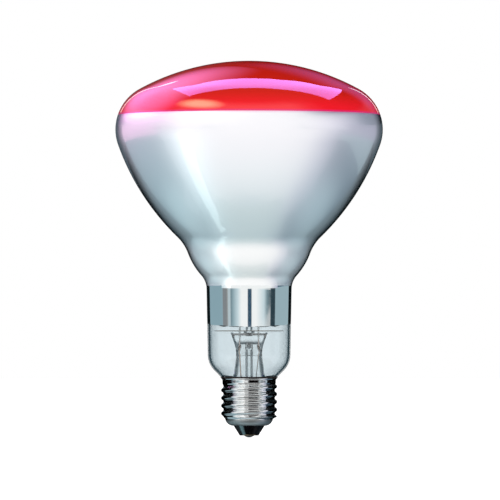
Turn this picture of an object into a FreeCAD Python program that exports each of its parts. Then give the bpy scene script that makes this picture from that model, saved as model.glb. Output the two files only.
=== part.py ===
import FreeCAD, Part
import Sketcher
import math
import os

# Reflector heat lamp bulb with a 27 mm screw cap, in millimetres.
# It stands cap down: +Z is the lamp axis, and Z = 0 is the tip of the centre contact.

VALUES = [
    # blown glass envelope, outer profile from the dome to the neck
    ("overall_length", 175.9, "contact tip to the top of the dome"),
    ("bulb_diameter", 125.0, "widest diameter of the glass"),
    ("dome_radius", 106.4, "curvature of the front face"),
    ("brow_radius", 21.6, "arc from the dome to the widest place"),
    ("cheek_radius", 20.9, "arc from the widest place to the reflector"),
    ("reflector_radius", 112.65, "long arc of the reflector cone"),
    ("waist_radius", 28.57, "glass radius where the cone meets the bulge"),
    ("waist_share", 0.4889, "height of that place, as a share of the length"),
    ("waist_fillet", 20.2, "hollow arc above the bulge"),
    ("bulge_radius", 32.4, "round arc of the bulge"),
    ("neck_fillet", 9.3, "hollow arc below the bulge"),
    ("neck_radius", 19.87, "neck at its upper end"),
    ("bulge_height", 16.5, "bulge, from the neck's upper end to the waist"),
    ("neck_taper", 0.58, "how much narrower the neck is at its lower end"),
    ("neck_foot_share", 1.7308, "height where the neck turns in, over the rim, as a share of its overhang"),
    ("neck_corner_share", 1.836, "arc at the foot of the neck, as a share of that overhang"),
    ("rim_glass_radius", 13.57, "glass radius just above the cap"),
    ("rim_glass_height", 28.6, "height of that place"),
    ("throat_radius", 11.2, "narrow glass inside the cap"),
    ("throat_fillet", 2.0, "hollow arc where the cone meets the throat"),
    ("throat_end_height", 21.4, "lower end of the envelope"),
    ("glass_wall", 1.2, "wall of the envelope"),
    # glass stem
    ("stem_radius", 6.1, "stem tube under the press, outside"),
    ("stem_foot_radius", 7.0, "stem tube where the flare starts, outside"),
    ("stem_wall", 1.1, "wall of the stem tube"),
    ("flare_start_height", 31.0, "height where the stem tube starts to flare"),
    ("flare_bend", 6.0, "inner bend of the flare"),
    ("flare_rim_height", 23.8, "upper edge of the flare rim on the throat wall"),
    ("press_top_height", 48.9, "top of the press"),
    ("press_start_share", 0.391, "where the tube starts to flatten, from the flare to the press top"),
    ("press_mid_share", 0.559, "half flattened section, on the same scale"),
    ("press_low_share", 0.698, "flat section above the tube's end, on the same scale"),
    ("press_mid_width", 12.5, "width of the half flattened section"),
    ("press_mid_thickness", 7.4, "its thickness"),
    ("press_mid_corner", 3.48, "its round corners"),
    ("press_low_width", 13.6, "width of the flat section"),
    ("press_low_thickness", 4.8, "its thickness"),
    ("press_low_corner", 2.18, "its round corners"),
    ("press_top_width", 17.4, "width of the fan at its top"),
    ("press_thickness", 4.2, "thickness of the press at its top"),
    ("press_top_corner", 1.89, "round corners at the top"),
    ("loft_lip", 0.05, "how far the first section stands outside the round tube"),
    ("hollow_top_share", 0.67, "top of the hollow in the stem, on the same scale"),
    ("hollow_mid_thickness", 3.96, "hollow inside the half flattened section"),
    ("hollow_mid_corner", 1.87, "its round corners"),
    ("hollow_top_width", 8.4, "width of the hollow at its top"),
    ("hollow_top_thickness", 1.54, "its thickness there"),
    ("hollow_top_corner", 0.66, "its round corners there"),
    ("exhaust_radius", 1.8, "exhaust tube, outside"),
    ("exhaust_bore", 1.0, "exhaust tube, bore radius"),
    ("exhaust_top_share", 0.715, "exhaust tube end in the press, on the same scale"),
    ("exhaust_tip_height", 14.0, "sealed end of the exhaust tube"),
    ("exhaust_hole_width", 2.8, "pumping hole through the press, across"),
    ("exhaust_hole_height", 1.2, "pumping hole through the press, upright"),
    ("exhaust_hole_share", 0.587, "middle of the pumping hole, on the same scale"),
    # rod and button that carry the filament supports
    ("arbor_radius", 1.6, "glass rod on the lamp axis"),
    ("arbor_seat_depth", 1.5, "rod sunk into the press"),
    ("arbor_foot_radius", 2.6, "small collar under the shield"),
    ("button_radius", 3.4, "glass button at the rod's top"),
    ("button_drop", 8.0, "button's middle below the coil"),
    # heat shield
    ("shield_margin", 3.72, "edge of the disc inside the neck's outer radius"),
    ("shield_standoff", 0.65, "underside of the disc above the press"),
    ("shield_thickness", 0.3, "disc thickness"),
    ("shield_clearance", 0.1, "play round what passes through the disc"),
    # wires
    ("lead_spacing", 8.8, "distance between the two leads in the press"),
    ("outer_lead_radius", 0.3, "lead to the centre contact"),
    ("shell_lead_radius", 0.2, "lead to the screw shell"),
    ("seal_wire_radius", 0.3, "wire sealed in the press"),
    ("seal_low_share", 0.648, "lower end of the seal wires, from the flare to the press top"),
    ("seal_high_share", 0.838, "upper end of the seal wires, on the same scale"),
    ("lead_bow", 1.2, "contact lead off the exhaust tube, beside its tip"),
    ("lead_bow_height", 16.0, "height of that bend"),
    ("lead_centre_height", 10.5, "height where the contact lead comes to the axis"),
    ("lead_end_height", 0.45, "lower end of the contact lead, in the solder"),
    ("lead_clearance", 0.05, "play between the side lead and the throat"),
    ("shell_lead_drop", 0.8, "how far below the throat the side lead passes"),
    ("shell_lead_knee_height", 28.0, "height of the side lead's first bend"),
    ("shell_lead_knee_share", 0.22, "how far out that bend is, from the press to the throat's side"),
    ("shell_lead_foot_share", 0.35, "how far out the side lead reaches its lowest run"),
    ("shell_lead_slant", 0.42, "side lead from the throat's side to its run through the collar"),
    ("shell_lead_end", 1.47, "side lead's end, from the throat's side"),
    ("inner_lead_radius", 0.4, "stiff leads to the filament"),
    ("inner_lead_rise", 6.45, "bend where the inner leads spread, above the disc"),
    ("inner_lead_straight", 3.25, "straight upper end of the inner leads"),
    ("support_radius", 0.15, "filament support wire"),
    ("support_count", 6, "supports round the button"),
    ("support_play", 0.03, "play between a support loop and the coil"),
    ("support_start", 1.7, "lower end of a support, from the button's middle"),
    ("filament_ring_radius", 14.0, "middle of the coil to the lamp axis"),
    ("filament_share", 0.5685, "height of the coil, as a share of the length"),
    ("filament_coil_radius", 0.65, "coil, outside"),
    ("filament_coil_bore", 0.4, "coil, inside"),
    ("filament_gap_angle", 60.0, "open part of the ring, in degrees"),
    # screw cap
    ("thread_crest_radius", 13.1, "thread, over the crests"),
    ("thread_pitch", 3.629, "thread pitch"),
    ("thread_round", 1.025, "arc radius of crest and root"),
    ("thread_start_height", 9.3, "height of a crest on the +X side"),
    ("thread_foot_height", 8.5, "height where the thread starts to rise"),
    ("thread_end_height", 25.2, "height where the thread has faded"),
    ("thread_run_in", 1.33, "height over which the thread rises"),
    ("thread_run_out", 1.025, "height over which it fades"),
    ("seam_run", 1.54, "height over which the shoulder grows to the thread root"),
    ("sheet_thickness", 0.3, "metal of the shell"),
    ("collar_radius", 12.5, "plain collar above the thread"),
    ("collar_foot_height", 25.4, "lower end of the plain collar"),
    ("rim_flare_height", 26.7, "height where the rim starts to flare"),
    ("cap_rim_height", 27.4, "outer edge of the shell rim"),
    ("cap_rim_radius", 13.05, "shell rim"),
    ("shoulder_radius", 3.9, "round shoulder at the foot of the shell"),
    ("shell_hole_radius", 7.35, "hole at the foot of the shell"),
    ("shell_foot_height", 5.4, "lowest place of the shell"),
    ("seam_height", 8.3, "line where the shoulder meets the rolled part"),
    ("side_hole_radius", 0.5, "hole for the side lead, in the collar"),
    ("side_hole_height", 26.0, "height of that hole"),
    ("side_drill_length", 1.8, "length of the drill for that hole"),
    # insulator, contact, solder and cement
    ("insulator_foot_radius", 4.6, "insulator at the contact plate"),
    ("insulator_top_radius", 3.22, "flat top of the insulator, inside the shell"),
    ("insulator_step", 0.1, "insulator inside the edge of the shell's hole"),
    ("insulator_bore", 0.9, "hole for the lead"),
    ("contact_height", 0.85, "underside of the contact plate"),
    ("contact_thickness", 0.4, "contact plate"),
    ("contact_radius", 4.6, "contact plate"),
    ("contact_hole_radius", 1.0, "hole in the contact plate"),
    ("contact_edge", 0.15, "rounded lower edge of the plate"),
    ("solder_radius", 2.4, "solder mound on the plate"),
    ("side_solder_radius", 0.95, "solder on the side hole"),
    ("side_solder_height", 0.9, "how far that solder stands out"),
    ("side_plug_overlap", 0.1, "how much wider that solder's plug is drawn than the hole"),
    ("side_plug_length", 0.06, "length of the plug"),
    ("glass_overlap", 0.4, "how far the cement reaches into the glass before the glass is cut out"),
    ("bead_radius", 13.3, "cement bead above the shell rim"),
    ("bead_foot_height", 27.72, "underside of the bead, just over the rim"),
    ("bead_shoulder_height", 28.1, "height where the bead starts to close on the glass"),
    ("bead_top_height", 28.4, "top of the cement bead, before the glass takes its place"),
    ("bead_top_radius", 13.15, "radius of the bead at its top"),
    ("cement_foot_height", 26.6, "lower end of the cement, above the side lead"),
    ("cement_play", 0.05, "play between the cement and the metal"),
    ("cement_bend_radius", 12.35, "cement where the rim flares, half way"),
    ("cement_bend_height", 27.24, "height of that place"),
    ("cement_rim_radius", 12.82, "cement at the inner edge of the rim"),
]

ARC_NAMES = ("dome_radius", "brow_radius", "cheek_radius", "reflector_radius",
             "waist_fillet", "bulge_radius", "neck_fillet")
THREAD_STEPS = 36
PROFILE_STEP = 0.35
DEGREE = 3
TOUCH = 0.01
SETTLE_ROUNDS = 20
GUESS_STEP = 0.001
NECK_GUESS = (110.0, 132.0)
WAIST_GUESS = (110.0, 136.0)
FLARE_GUESS = 30.0

doc = FreeCAD.newDocument("HeatLampBulb")
sheet = doc.addObject("Spreadsheet::Sheet", "Values")


def fill_sheet():
    """Write one row for each driving size: its name, its number and what it is."""
    for row, (alias, number, note) in enumerate(VALUES, start=1):
        sheet.set("A%d" % row, alias)
        sheet.set("B%d" % row, str(number))
        sheet.set("C%d" % row, note)
        sheet.setAlias("B%d" % row, alias)
    doc.recompute()


class Size(float):
    """A number that keeps the sheet formula it was worked out from."""

    def __new__(cls, number, formula):
        size = float.__new__(cls, number)
        size.formula = formula
        return size

    def __add__(self, other):
        return Size(float(self) + float(other), "(%s + %s)" % (self.formula, formula_of(other)))

    def __sub__(self, other):
        return Size(float(self) - float(other), "(%s - %s)" % (self.formula, formula_of(other)))

    def __mul__(self, other):
        return Size(float(self) * float(other), "(%s * %s)" % (self.formula, formula_of(other)))

    def __truediv__(self, other):
        return Size(float(self) / float(other), "(%s / %s)" % (self.formula, formula_of(other)))

    def __neg__(self):
        return Size(-float(self), "(0 - %s)" % self.formula)


def formula_of(number):
    """Give the formula of a Size, or a plain number as text."""
    return number.formula if isinstance(number, Size) else repr(number)


def size(alias):
    """Read one driving size from the sheet."""
    return Size(float(sheet.get(alias)), "Values." + alias)


def waist_level():
    """Height where the cone meets the bulge."""
    return size("overall_length") * size("waist_share")


def neck_foot():
    """Radius of the neck at its lower end."""
    return size("neck_radius") - size("neck_taper")


def neck_overhang():
    """How much wider the foot of the neck is than the glass at the rim."""
    return neck_foot() - size("rim_glass_radius")


def neck_foot_level():
    """Height where the neck starts to turn in."""
    return size("rim_glass_height") + neck_overhang() * size("neck_foot_share")


def neck_corner():
    """Arc at the foot of the neck."""
    return neck_overhang() * size("neck_corner_share")


def press_level(alias):
    """Height of a place in the stem, from its share of the way from the flare to the press top."""
    start = size("flare_start_height")
    return start + (size("press_top_height") - start) * size(alias)


def shield_level():
    """Height of the disc's underside."""
    return size("press_top_height") + size("shield_standoff")


def filament_level():
    """Height of the coil."""
    return size("overall_length") * size("filament_share")


def button_level():
    """Height of the button's middle."""
    return filament_level() - size("button_drop")


def root(number):
    """Square root of a Size."""
    return Size(math.sqrt(float(number)), "sqrt(%s)" % formula_of(number))


def cosine(number):
    """Cosine of a Size in degrees."""
    return Size(math.cos(math.radians(number)), "cos(%s * 1 deg)" % formula_of(number))


def sine(number):
    """Sine of a Size in degrees."""
    return Size(math.sin(math.radians(number)), "sin(%s * 1 deg)" % formula_of(number))


class Outline:
    """A sketch drawn as a run of lines and arcs, each tied to the sheet."""

    def __init__(self, sketch):
        self.sketch = sketch
        self.starts = []
        self.ends = []

    def line(self, start, end):
        """Add a straight piece."""
        geometry = Part.LineSegment(FreeCAD.Vector(*start, 0), FreeCAD.Vector(*end, 0))
        index = self.sketch.addGeometry(geometry, False)
        self.starts.append((index, 1))
        self.ends.append((index, 2))
        return index

    def arc(self, start, end, centre, clockwise):
        """Add a round piece from start to end about a centre."""
        middle = FreeCAD.Vector(*centre, 0)
        first = FreeCAD.Vector(*start, 0) - middle
        last = FreeCAD.Vector(*end, 0) - middle
        first_angle = math.atan2(first.y, first.x)
        last_angle = math.atan2(last.y, last.x)
        circle = Part.Circle(middle, FreeCAD.Vector(0, 0, 1), first.Length)
        if clockwise:
            index = self.sketch.addGeometry(Part.ArcOfCircle(circle, last_angle, first_angle), False)
            self.starts.append((index, 2))
            self.ends.append((index, 1))
        else:
            index = self.sketch.addGeometry(Part.ArcOfCircle(circle, first_angle, last_angle), False)
            self.starts.append((index, 1))
            self.ends.append((index, 2))
        return index

    def join(self, before, after, smooth=False):
        """Make one piece start where another ends, with a smooth turn if asked."""
        kind = "Tangent" if smooth else "Coincident"
        self.sketch.addConstraint(Sketcher.Constraint(kind, *self.ends[before], *self.starts[after]))

    def meet(self, one, other):
        """Make two points the same."""
        self.sketch.addConstraint(Sketcher.Constraint("Coincident", *one, *other))

    def tie(self, kind, references, number):
        """Add one size to the sketch and bind it to its formula."""
        place = self.sketch.addConstraint(Sketcher.Constraint(kind, *references, float(number)))
        self.sketch.setExpression("Constraints[%d]" % place, formula_of(number))

    def place(self, point, across=None, up=None):
        """Fix a point's distance across and up from the sketch origin."""
        if across is not None and across == 0:
            self.sketch.addConstraint(Sketcher.Constraint("PointOnObject", *point, -2))
        elif across is not None:
            self.tie("DistanceX", (-1, 1) + point, across)
        if up is not None and up == 0:
            self.sketch.addConstraint(Sketcher.Constraint("PointOnObject", *point, -1))
        elif up is not None:
            self.tie("DistanceY", (-1, 1) + point, up)

    def polygon(self, corners, closed=True):
        """Add straight pieces through a list of corners, each corner placed by its sizes."""
        first = len(self.starts)
        following = corners[1:] + corners[:1] if closed else corners[1:]
        for start, end in zip(corners, following):
            self.line(start, end)
        last = len(self.starts) - 1
        for piece in range(first, last):
            self.join(piece, piece + 1)
        if closed:
            self.join(last, first)
        for piece, corner in zip(range(first, last + 1), corners):
            self.place(self.starts[piece], *corner)
        if not closed:
            self.place(self.ends[last], *corners[-1])


def new_body(label):
    """Start a body for one piece."""
    body = doc.addObject("PartDesign::Body", label)
    body.Label = label
    return body


def new_sketch(body, name, role="XZ_Plane", height=None):
    """Start a sketch on one of the body's planes, raised by a height if one is given."""
    sketch = body.newObject("Sketcher::SketchObject", name)
    plane = [feature for feature in body.Origin.OriginFeatures if feature.Role == role][0]
    sketch.AttachmentSupport = [(plane, "")]
    sketch.MapMode = "FlatFace"
    if height is not None:
        sketch.AttachmentOffset.Base.z = float(height)
        sketch.setExpression("AttachmentOffset.Base.z", formula_of(height))
    return sketch


def revolve(body, sketch, degrees=360.0):
    """Turn a profile about the lamp axis."""
    turned = body.newObject("PartDesign::Revolution", sketch.Name + "_turned")
    turned.Profile = sketch
    turned.ReferenceAxis = (sketch, ["V_Axis"])
    turned.Angle = float(degrees)
    if isinstance(degrees, Size):
        turned.setExpression("Angle", formula_of(degrees))
    body.Tip = turned
    return turned


def turned_body(label, corners):
    """Make a piece of revolution from a closed run of corners."""
    body = new_body(label)
    sketch = new_sketch(body, label + "_profile")
    Outline(sketch).polygon(corners)
    revolve(body, sketch)
    return body


def wire_body(label, corners, radius):
    """Make a bent wire from a run of corners in its own upright plane, starting upright."""
    body = new_body(label)
    path = new_sketch(body, label + "_path")
    Outline(path).polygon(corners, closed=False)
    section = new_sketch(body, label + "_section", "XY_Plane", corners[0][1])
    across = corners[0][0]
    start = FreeCAD.Vector(float(across), 0, 0)
    section.addGeometry(Part.Circle(start, FreeCAD.Vector(0, 0, 1), float(radius)), False)
    outline = Outline(section)
    outline.tie("Radius", (0,), radius)
    outline.place((0, 3), across, 0)
    wire = body.newObject("PartDesign::AdditivePipe", label + "_wire")
    wire.Profile = section
    wire.Spine = (path, ["Edge%d" % number for number in range(1, len(corners))])
    wire.Transition = "Round corner"
    body.Tip = wire
    return body


def cut(label, base, tools):
    """Take the tools out of a base piece."""
    tool = tools[0]
    if len(tools) > 1:
        tool = doc.addObject("Part::Compound", label + "_tools")
        tool.Links = tools
    result = doc.addObject("Part::Cut", label)
    result.Label = label
    result.Base = base
    result.Tool = tool
    return result


def tangent_chain(start, heading, turns):
    """Walk along tangent arcs; each turn is a radius and the heading it ends with.

    The heading is measured from +X, clockwise, in degrees.
    Returns (start, end, centre, clockwise) for each arc.
    """
    pieces = []
    for radius, target in turns:
        side = 1 if target > heading else -1
        from_angle = math.radians(heading)
        to_angle = math.radians(target)
        reach = side * radius
        centre = (start[0] - reach * math.sin(from_angle), start[1] - reach * math.cos(from_angle))
        end = (centre[0] + reach * math.sin(to_angle), centre[1] + reach * math.cos(to_angle))
        pieces.append((start, end, centre, side == 1))
        start = end
        heading = target
    return pieces


def settle_pair(miss, pair):
    """Find the two headings at which a run of arcs ends at its place, by Newton's method."""
    for _ in range(SETTLE_ROUNDS):
        here = miss(*pair)
        first = miss(pair[0] + GUESS_STEP, pair[1])
        second = miss(pair[0], pair[1] + GUESS_STEP)
        a, b = (first[0] - here[0]) / GUESS_STEP, (second[0] - here[0]) / GUESS_STEP
        c, d = (first[1] - here[1]) / GUESS_STEP, (second[1] - here[1]) / GUESS_STEP
        scale = a * d - b * c
        pair = (pair[0] - (here[0] * d - here[1] * b) / scale, pair[1] - (here[1] * a - here[0] * c) / scale)
    return pair


def envelope_headings():
    """Heading at the end of each of the envelope's arcs, from the dome to the neck."""
    dome, brow, cheek, reflector, fillet, bulge, neck_fillet = [float(size(name)) for name in ARC_NAMES]
    widest = size("bulb_diameter") / 2
    waist = (size("waist_radius"), waist_level())
    neck = (size("neck_radius"), waist[1] - size("bulge_height"))
    run = (size("neck_taper"), neck[1] - neck_foot_level())
    neck_heading = 90 + math.degrees(math.atan2(*run))
    brow_heading = math.degrees(math.asin((widest - brow) / (dome - brow)))
    dome_turns = [(dome, brow_heading), (brow, 90.0)]
    widest_place = tangent_chain((0.0, size("overall_length")), 0.0, dome_turns)[-1][1]

    def miss_neck(waist_heading, bulge_heading):
        turns = [(bulge, bulge_heading), (neck_fillet, neck_heading)]
        end = tangent_chain(waist, waist_heading, turns)[-1][1]
        return end[0] - neck[0], end[1] - neck[1]

    waist_heading, bulge_heading = settle_pair(miss_neck, NECK_GUESS)

    def miss_waist(cheek_heading, cone_heading):
        turns = [(cheek, cheek_heading), (reflector, cone_heading), (fillet, waist_heading)]
        end = tangent_chain(widest_place, 90.0, turns)[-1][1]
        return end[0] - waist[0], end[1] - waist[1]

    cheek_heading, cone_heading = settle_pair(miss_waist, WAIST_GUESS)
    return [brow_heading, 90.0, cheek_heading, cone_heading, waist_heading, bulge_heading, neck_heading]


def straight_cone_heading(neck_heading):
    """Heading of the straight cone that runs from the neck's corner through the glass at the rim."""
    lean = math.radians(neck_heading)
    corner = neck_corner()
    across = size("rim_glass_radius") - (neck_foot() - corner * math.sin(lean))
    up = size("rim_glass_height") - (neck_foot_level() - corner * math.cos(lean))
    return math.degrees(math.atan2(across, up) - math.acos(corner / math.hypot(across, up))) % 360


def draw_wall_line(outline, inset):
    """Draw one side of the envelope wall from the dome down to the throat, set in by a distance.

    Returns the index of the first piece; the seven arcs, the neck, its corner, the cone above and
    below the rim height, the hollow and the throat follow one another.
    """
    radii = [float(size(name)) for name in ARC_NAMES]
    headings = envelope_headings()
    cone_heading = straight_cone_heading(headings[-1])
    turns = []
    before = 0.0
    for radius, heading in zip(radii, headings):
        turns.append((radius - inset if heading > before else radius + inset, heading))
        before = heading
    first = len(outline.starts)
    arcs = tangent_chain((0.0, size("overall_length") - inset), 0.0, turns)
    for arc in arcs:
        outline.arc(*arc)
    neck_top = (size("neck_radius") - inset, waist_level() - size("bulge_height"))
    foot = (neck_foot() - inset, neck_foot_level())
    outline.line(neck_top, foot)
    corner, = tangent_chain(foot, headings[-1], [(neck_corner() - inset, cone_heading)])
    outline.arc(*corner)
    lean = math.radians(cone_heading)
    rim = (size("rim_glass_radius") - inset / math.sin(lean), size("rim_glass_height"))
    outline.line(corner[1], rim)
    fillet = size("throat_fillet") + inset
    hollow_across = size("throat_radius") - inset + fillet * (1 - math.sin(lean))
    hollow_top = (hollow_across, rim[1] - (hollow_across - rim[0]) * math.tan(lean))
    outline.line(rim, hollow_top)
    hollow, = tangent_chain(hollow_top, cone_heading, [(fillet, 90.0)])
    outline.arc(*hollow)
    outline.line(hollow[1], (hollow[1][0], size("throat_end_height")))
    for piece in range(first, len(outline.starts) - 1):
        outline.join(piece, piece + 1, smooth=True)
    return first


def make_glass_bulb():
    """Blown envelope: tangent arcs, neck, foot cone and throat, with an even wall."""
    body = new_body("glass_bulb")
    sketch = new_sketch(body, "glass_profile")
    outline = Outline(sketch)
    wall = size("glass_wall")
    length = size("overall_length")
    throat = size("throat_radius")
    end_height = size("throat_end_height")
    draw_wall_line(outline, 0.0)
    arc_count = len(ARC_NAMES)
    neck, corner, cone, lower_cone, hollow, throat_line = range(arc_count, arc_count + 6)
    for piece, name in enumerate(ARC_NAMES):
        outline.tie("Radius", (piece,), size(name))
    outline.tie("Radius", (corner,), neck_corner())
    outline.tie("Radius", (hollow,), size("throat_fillet"))
    outline.place((0, 3), 0)
    outline.place(outline.starts[0], 0, length)
    outline.place(outline.ends[1], size("bulb_diameter") / 2)
    sketch.addConstraint(Sketcher.Constraint("Horizontal", 1, 3, *outline.ends[1]))
    outline.place(outline.ends[4], size("waist_radius"), waist_level())
    outline.place(outline.starts[neck], size("neck_radius"), waist_level() - size("bulge_height"))
    outline.place(outline.ends[neck], neck_foot(), neck_foot_level())
    outline.place(outline.ends[cone], size("rim_glass_radius"), size("rim_glass_height"))
    outline.place(outline.ends[throat_line], throat, end_height)
    sketch.addConstraint(Sketcher.Constraint("Vertical", throat_line))
    # inner side of the wall: the same centres, one wall further in
    inner = draw_wall_line(outline, float(wall))
    for piece in list(range(arc_count)) + [corner, hollow]:
        sketch.addConstraint(Sketcher.Constraint("Coincident", piece, 3, inner + piece, 3))
    outline.place(outline.starts[inner], 0, length - wall)
    sketch.addConstraint(Sketcher.Constraint("Parallel", neck, inner + neck))
    outline.place(outline.ends[inner + cone], up=size("rim_glass_height"))
    outline.place(outline.ends[inner + throat_line], throat - wall, end_height)
    sketch.addConstraint(Sketcher.Constraint("Vertical", inner + throat_line))
    foot = outline.line((throat, end_height), (throat - wall, end_height))
    crown = outline.line((0.0, length - wall), (0.0, length))
    outline.join(throat_line, foot)
    outline.meet(outline.ends[foot], outline.ends[inner + throat_line])
    outline.meet(outline.starts[crown], outline.starts[inner])
    outline.meet(outline.ends[crown], outline.starts[0])
    revolve(body, sketch)
    return body


def rounded_section(body, name, height, width, depth, corner):
    """Draw a rectangle with round corners, centred on the lamp axis at a height."""
    sketch = new_sketch(body, name, "XY_Plane", height)
    outline = Outline(sketch)
    half_width = width / 2
    half_depth = depth / 2
    inner_width = half_width - corner
    inner_depth = half_depth - corner
    for turn in range(4):
        turned = math.radians(90 * turn)
        along, aside = (half_width, inner_depth) if turn % 2 == 0 else (half_depth, inner_width)
        inner_along = along - corner

        def spot(forward, left, turned=turned):
            return (float(forward) * math.cos(turned) - float(left) * math.sin(turned),
                    float(forward) * math.sin(turned) + float(left) * math.cos(turned))

        outline.line(spot(along, -aside), spot(along, aside))
        outline.arc(spot(along, aside), spot(inner_along, aside + corner), spot(inner_along, aside), False)
    for piece in range(8):
        outline.join(piece, (piece + 1) % 8, smooth=True)
    for piece in (1, 3, 5, 7):
        outline.tie("Radius", (piece,), corner)
    outline.place((1, 3), inner_width, inner_depth)
    outline.place((5, 3), -inner_width, -inner_depth)
    return sketch


def make_stem_blank():
    """Stem tube with its flare, flattened into the fan-shaped press, and the hollow inside."""
    body = new_body("stem_blank")
    tube = size("stem_radius")
    wall = size("stem_wall")
    bend = size("flare_bend")
    start = size("flare_start_height")
    top = press_level("press_start_share")
    throat_wall = size("throat_radius") - size("glass_wall")
    rim_height = size("flare_rim_height")
    sketch = new_sketch(body, "stem_profile")
    outline = Outline(sketch)
    # first guesses for the flare; the constraints settle them
    lean = math.radians(FLARE_GUESS)
    foot = size("stem_foot_radius")
    outer_end = (foot + bend * (1 - math.cos(lean)), start - bend * math.sin(lean))
    inner_end = (foot - wall + (bend + wall) * (1 - math.cos(lean)), start - (bend + wall) * math.sin(lean))
    rim_low = rim_height - wall * 2
    outline.line((tube, top), (foot, start))
    outline.arc((foot, start), outer_end, (foot + bend, start), False)
    outline.line(outer_end, (throat_wall, rim_height))
    outline.line((throat_wall, rim_height), (throat_wall, rim_low))
    outline.line((throat_wall, rim_low), inner_end)
    outline.arc(inner_end, (foot - wall, start), (foot + bend, start), True)
    outline.line((foot - wall, start), (tube - wall, top))
    outline.line((tube - wall, top), (tube, top))
    for piece, smooth in enumerate((True, True, False, False, True, True, False, False)):
        outline.join(piece, (piece + 1) % 8, smooth)
    outline.place(outline.starts[0], tube, top)
    outline.place(outline.ends[0], foot, start)
    outline.tie("Radius", (1,), bend)
    sketch.addConstraint(Sketcher.Constraint("Coincident", 1, 3, 5, 3))
    outline.place(outline.ends[2], throat_wall, rim_height)
    sketch.addConstraint(Sketcher.Constraint("Vertical", 3))
    sketch.addConstraint(Sketcher.Constraint("Parallel", 2, 4))
    sketch.addConstraint(Sketcher.Constraint("Parallel", 0, 6))
    outline.place(outline.ends[6], tube - wall, top)
    revolve(body, sketch)
    doc.recompute()
    lip = size("loft_lip")
    mid = press_level("press_mid_share")
    around = (tube + lip) * 2
    sections = [
        (top, around, around, tube - lip * 2),
        (mid, size("press_mid_width"), size("press_mid_thickness"), size("press_mid_corner")),
        (press_level("press_low_share"), size("press_low_width"), size("press_low_thickness"),
         size("press_low_corner")),
        (size("press_top_height"), size("press_top_width"),
         size("press_thickness"), size("press_top_corner")),
    ]
    sketches = [rounded_section(body, "press_section_%d" % (number + 1), *section)
                for number, section in enumerate(sections)]
    press = body.newObject("PartDesign::AdditiveLoft", "press")
    press.Profile = sketches[0]
    press.Sections = sketches[1:]
    body.Tip = press
    doc.recompute()
    bore = (tube - wall - lip * 2) * 2
    hollow_sections = [
        (top - lip * 2, bore, bore, tube - wall - lip * 5),
        (mid, bore, size("hollow_mid_thickness"), size("hollow_mid_corner")),
        (press_level("hollow_top_share"), size("hollow_top_width"), size("hollow_top_thickness"),
         size("hollow_top_corner")),
    ]
    sketches = [rounded_section(body, "hollow_section_%d" % (number + 1), *section)
                for number, section in enumerate(hollow_sections)]
    hollow = body.newObject("PartDesign::SubtractiveLoft", "stem_hollow")
    hollow.Profile = sketches[0]
    hollow.Sections = sketches[1:]
    body.Tip = hollow
    return body


def make_exhaust_hole_tool():
    """Flat-sided round hole that runs from the exhaust bore to the front of the press."""
    body = new_body("exhaust_hole_tool")
    sketch = new_sketch(body, "exhaust_hole_profile")
    width = size("exhaust_hole_width")
    height = size("exhaust_hole_height")
    level = press_level("exhaust_hole_share")
    reach = (width - height) / 2
    low = level - height / 2
    high = level + height / 2
    outline = Outline(sketch)
    outline.line((-reach, low), (reach, low))
    outline.arc((reach, low), (reach, high), (reach, level), False)
    outline.line((reach, high), (-reach, high))
    outline.arc((-reach, high), (-reach, low), (-reach, level), False)
    for piece in range(4):
        outline.join(piece, (piece + 1) % 4, smooth=True)
    outline.tie("Radius", (1,), height / 2)
    outline.tie("Radius", (3,), height / 2)
    outline.place((1, 3), reach, level)
    outline.place((3, 3), -reach, level)
    pad = body.newObject("PartDesign::Pad", "exhaust_hole_reach")
    pad.Profile = sketch
    pad.Length = float(size("stem_radius"))
    pad.setExpression("Length", size("stem_radius").formula)
    body.Tip = pad
    return body


def make_exhaust_blank():
    """Thin glass tube on the axis, sealed at its lower end."""
    outer = size("exhaust_radius")
    bore = size("exhaust_bore")
    top = press_level("exhaust_top_share")
    tip = size("exhaust_tip_height")
    body = new_body("exhaust_blank")
    sketch = new_sketch(body, "exhaust_profile")
    outline = Outline(sketch)
    outline.line((outer, tip + outer), (outer, top))
    outline.line((outer, top), (bore, top))
    outline.line((bore, top), (bore, tip + outer + bore))
    end = float(tip + outer)
    outline.arc((bore, tip + outer + bore), (0.0, end), (0.0, end + bore), True)
    outline.line((0.0, tip + outer), (0.0, tip))
    outline.arc((0.0, float(tip)), (outer, tip + outer), (0.0, float(tip + outer)), False)
    for piece, smooth in enumerate((False, False, False, False, False, True)):
        outline.join(piece, (piece + 1) % 6, smooth)
    outline.place(outline.starts[0], outer, tip + outer)
    outline.place(outline.starts[1], outer, top)
    outline.place(outline.starts[2], bore, top)
    outline.place(outline.starts[3], bore, tip + outer + bore)
    outline.place((3, 3), 0, tip + outer + bore)
    outline.place(outline.starts[4], 0)
    outline.place(outline.starts[5], 0)
    outline.place((5, 3), 0)
    revolve(body, sketch)
    return body


def make_arbor_blank():
    """Glass rod with a small collar at its foot and a round button at its top."""
    rod = size("arbor_radius")
    press_top = size("press_top_height")
    shield = shield_level()
    button = size("button_radius")
    middle = button_level()
    foot = press_top - size("arbor_seat_depth")
    collar = size("arbor_foot_radius")
    meet = root(button * button - rod * rod)
    body = new_body("arbor_blank")
    sketch = new_sketch(body, "arbor_profile")
    outline = Outline(sketch)
    corners = [(0.0, foot), (rod, foot), (rod, press_top),
               (collar, press_top), (collar, shield), (rod, shield),
               (rod, middle - meet)]
    for start, end in zip(corners, corners[1:]):
        outline.line(start, end)
    outline.arc(corners[-1], (0.0, float(middle + button)), (0.0, float(middle)), False)
    outline.line((0.0, middle + button), (0.0, foot))
    for piece in range(8):
        outline.join(piece, (piece + 1) % 8)
    for piece, corner in enumerate(corners):
        outline.place(outline.starts[piece], *corner)
    outline.place((6, 3), 0, middle)
    outline.place(outline.ends[6], 0)
    revolve(body, sketch)
    return body


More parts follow.
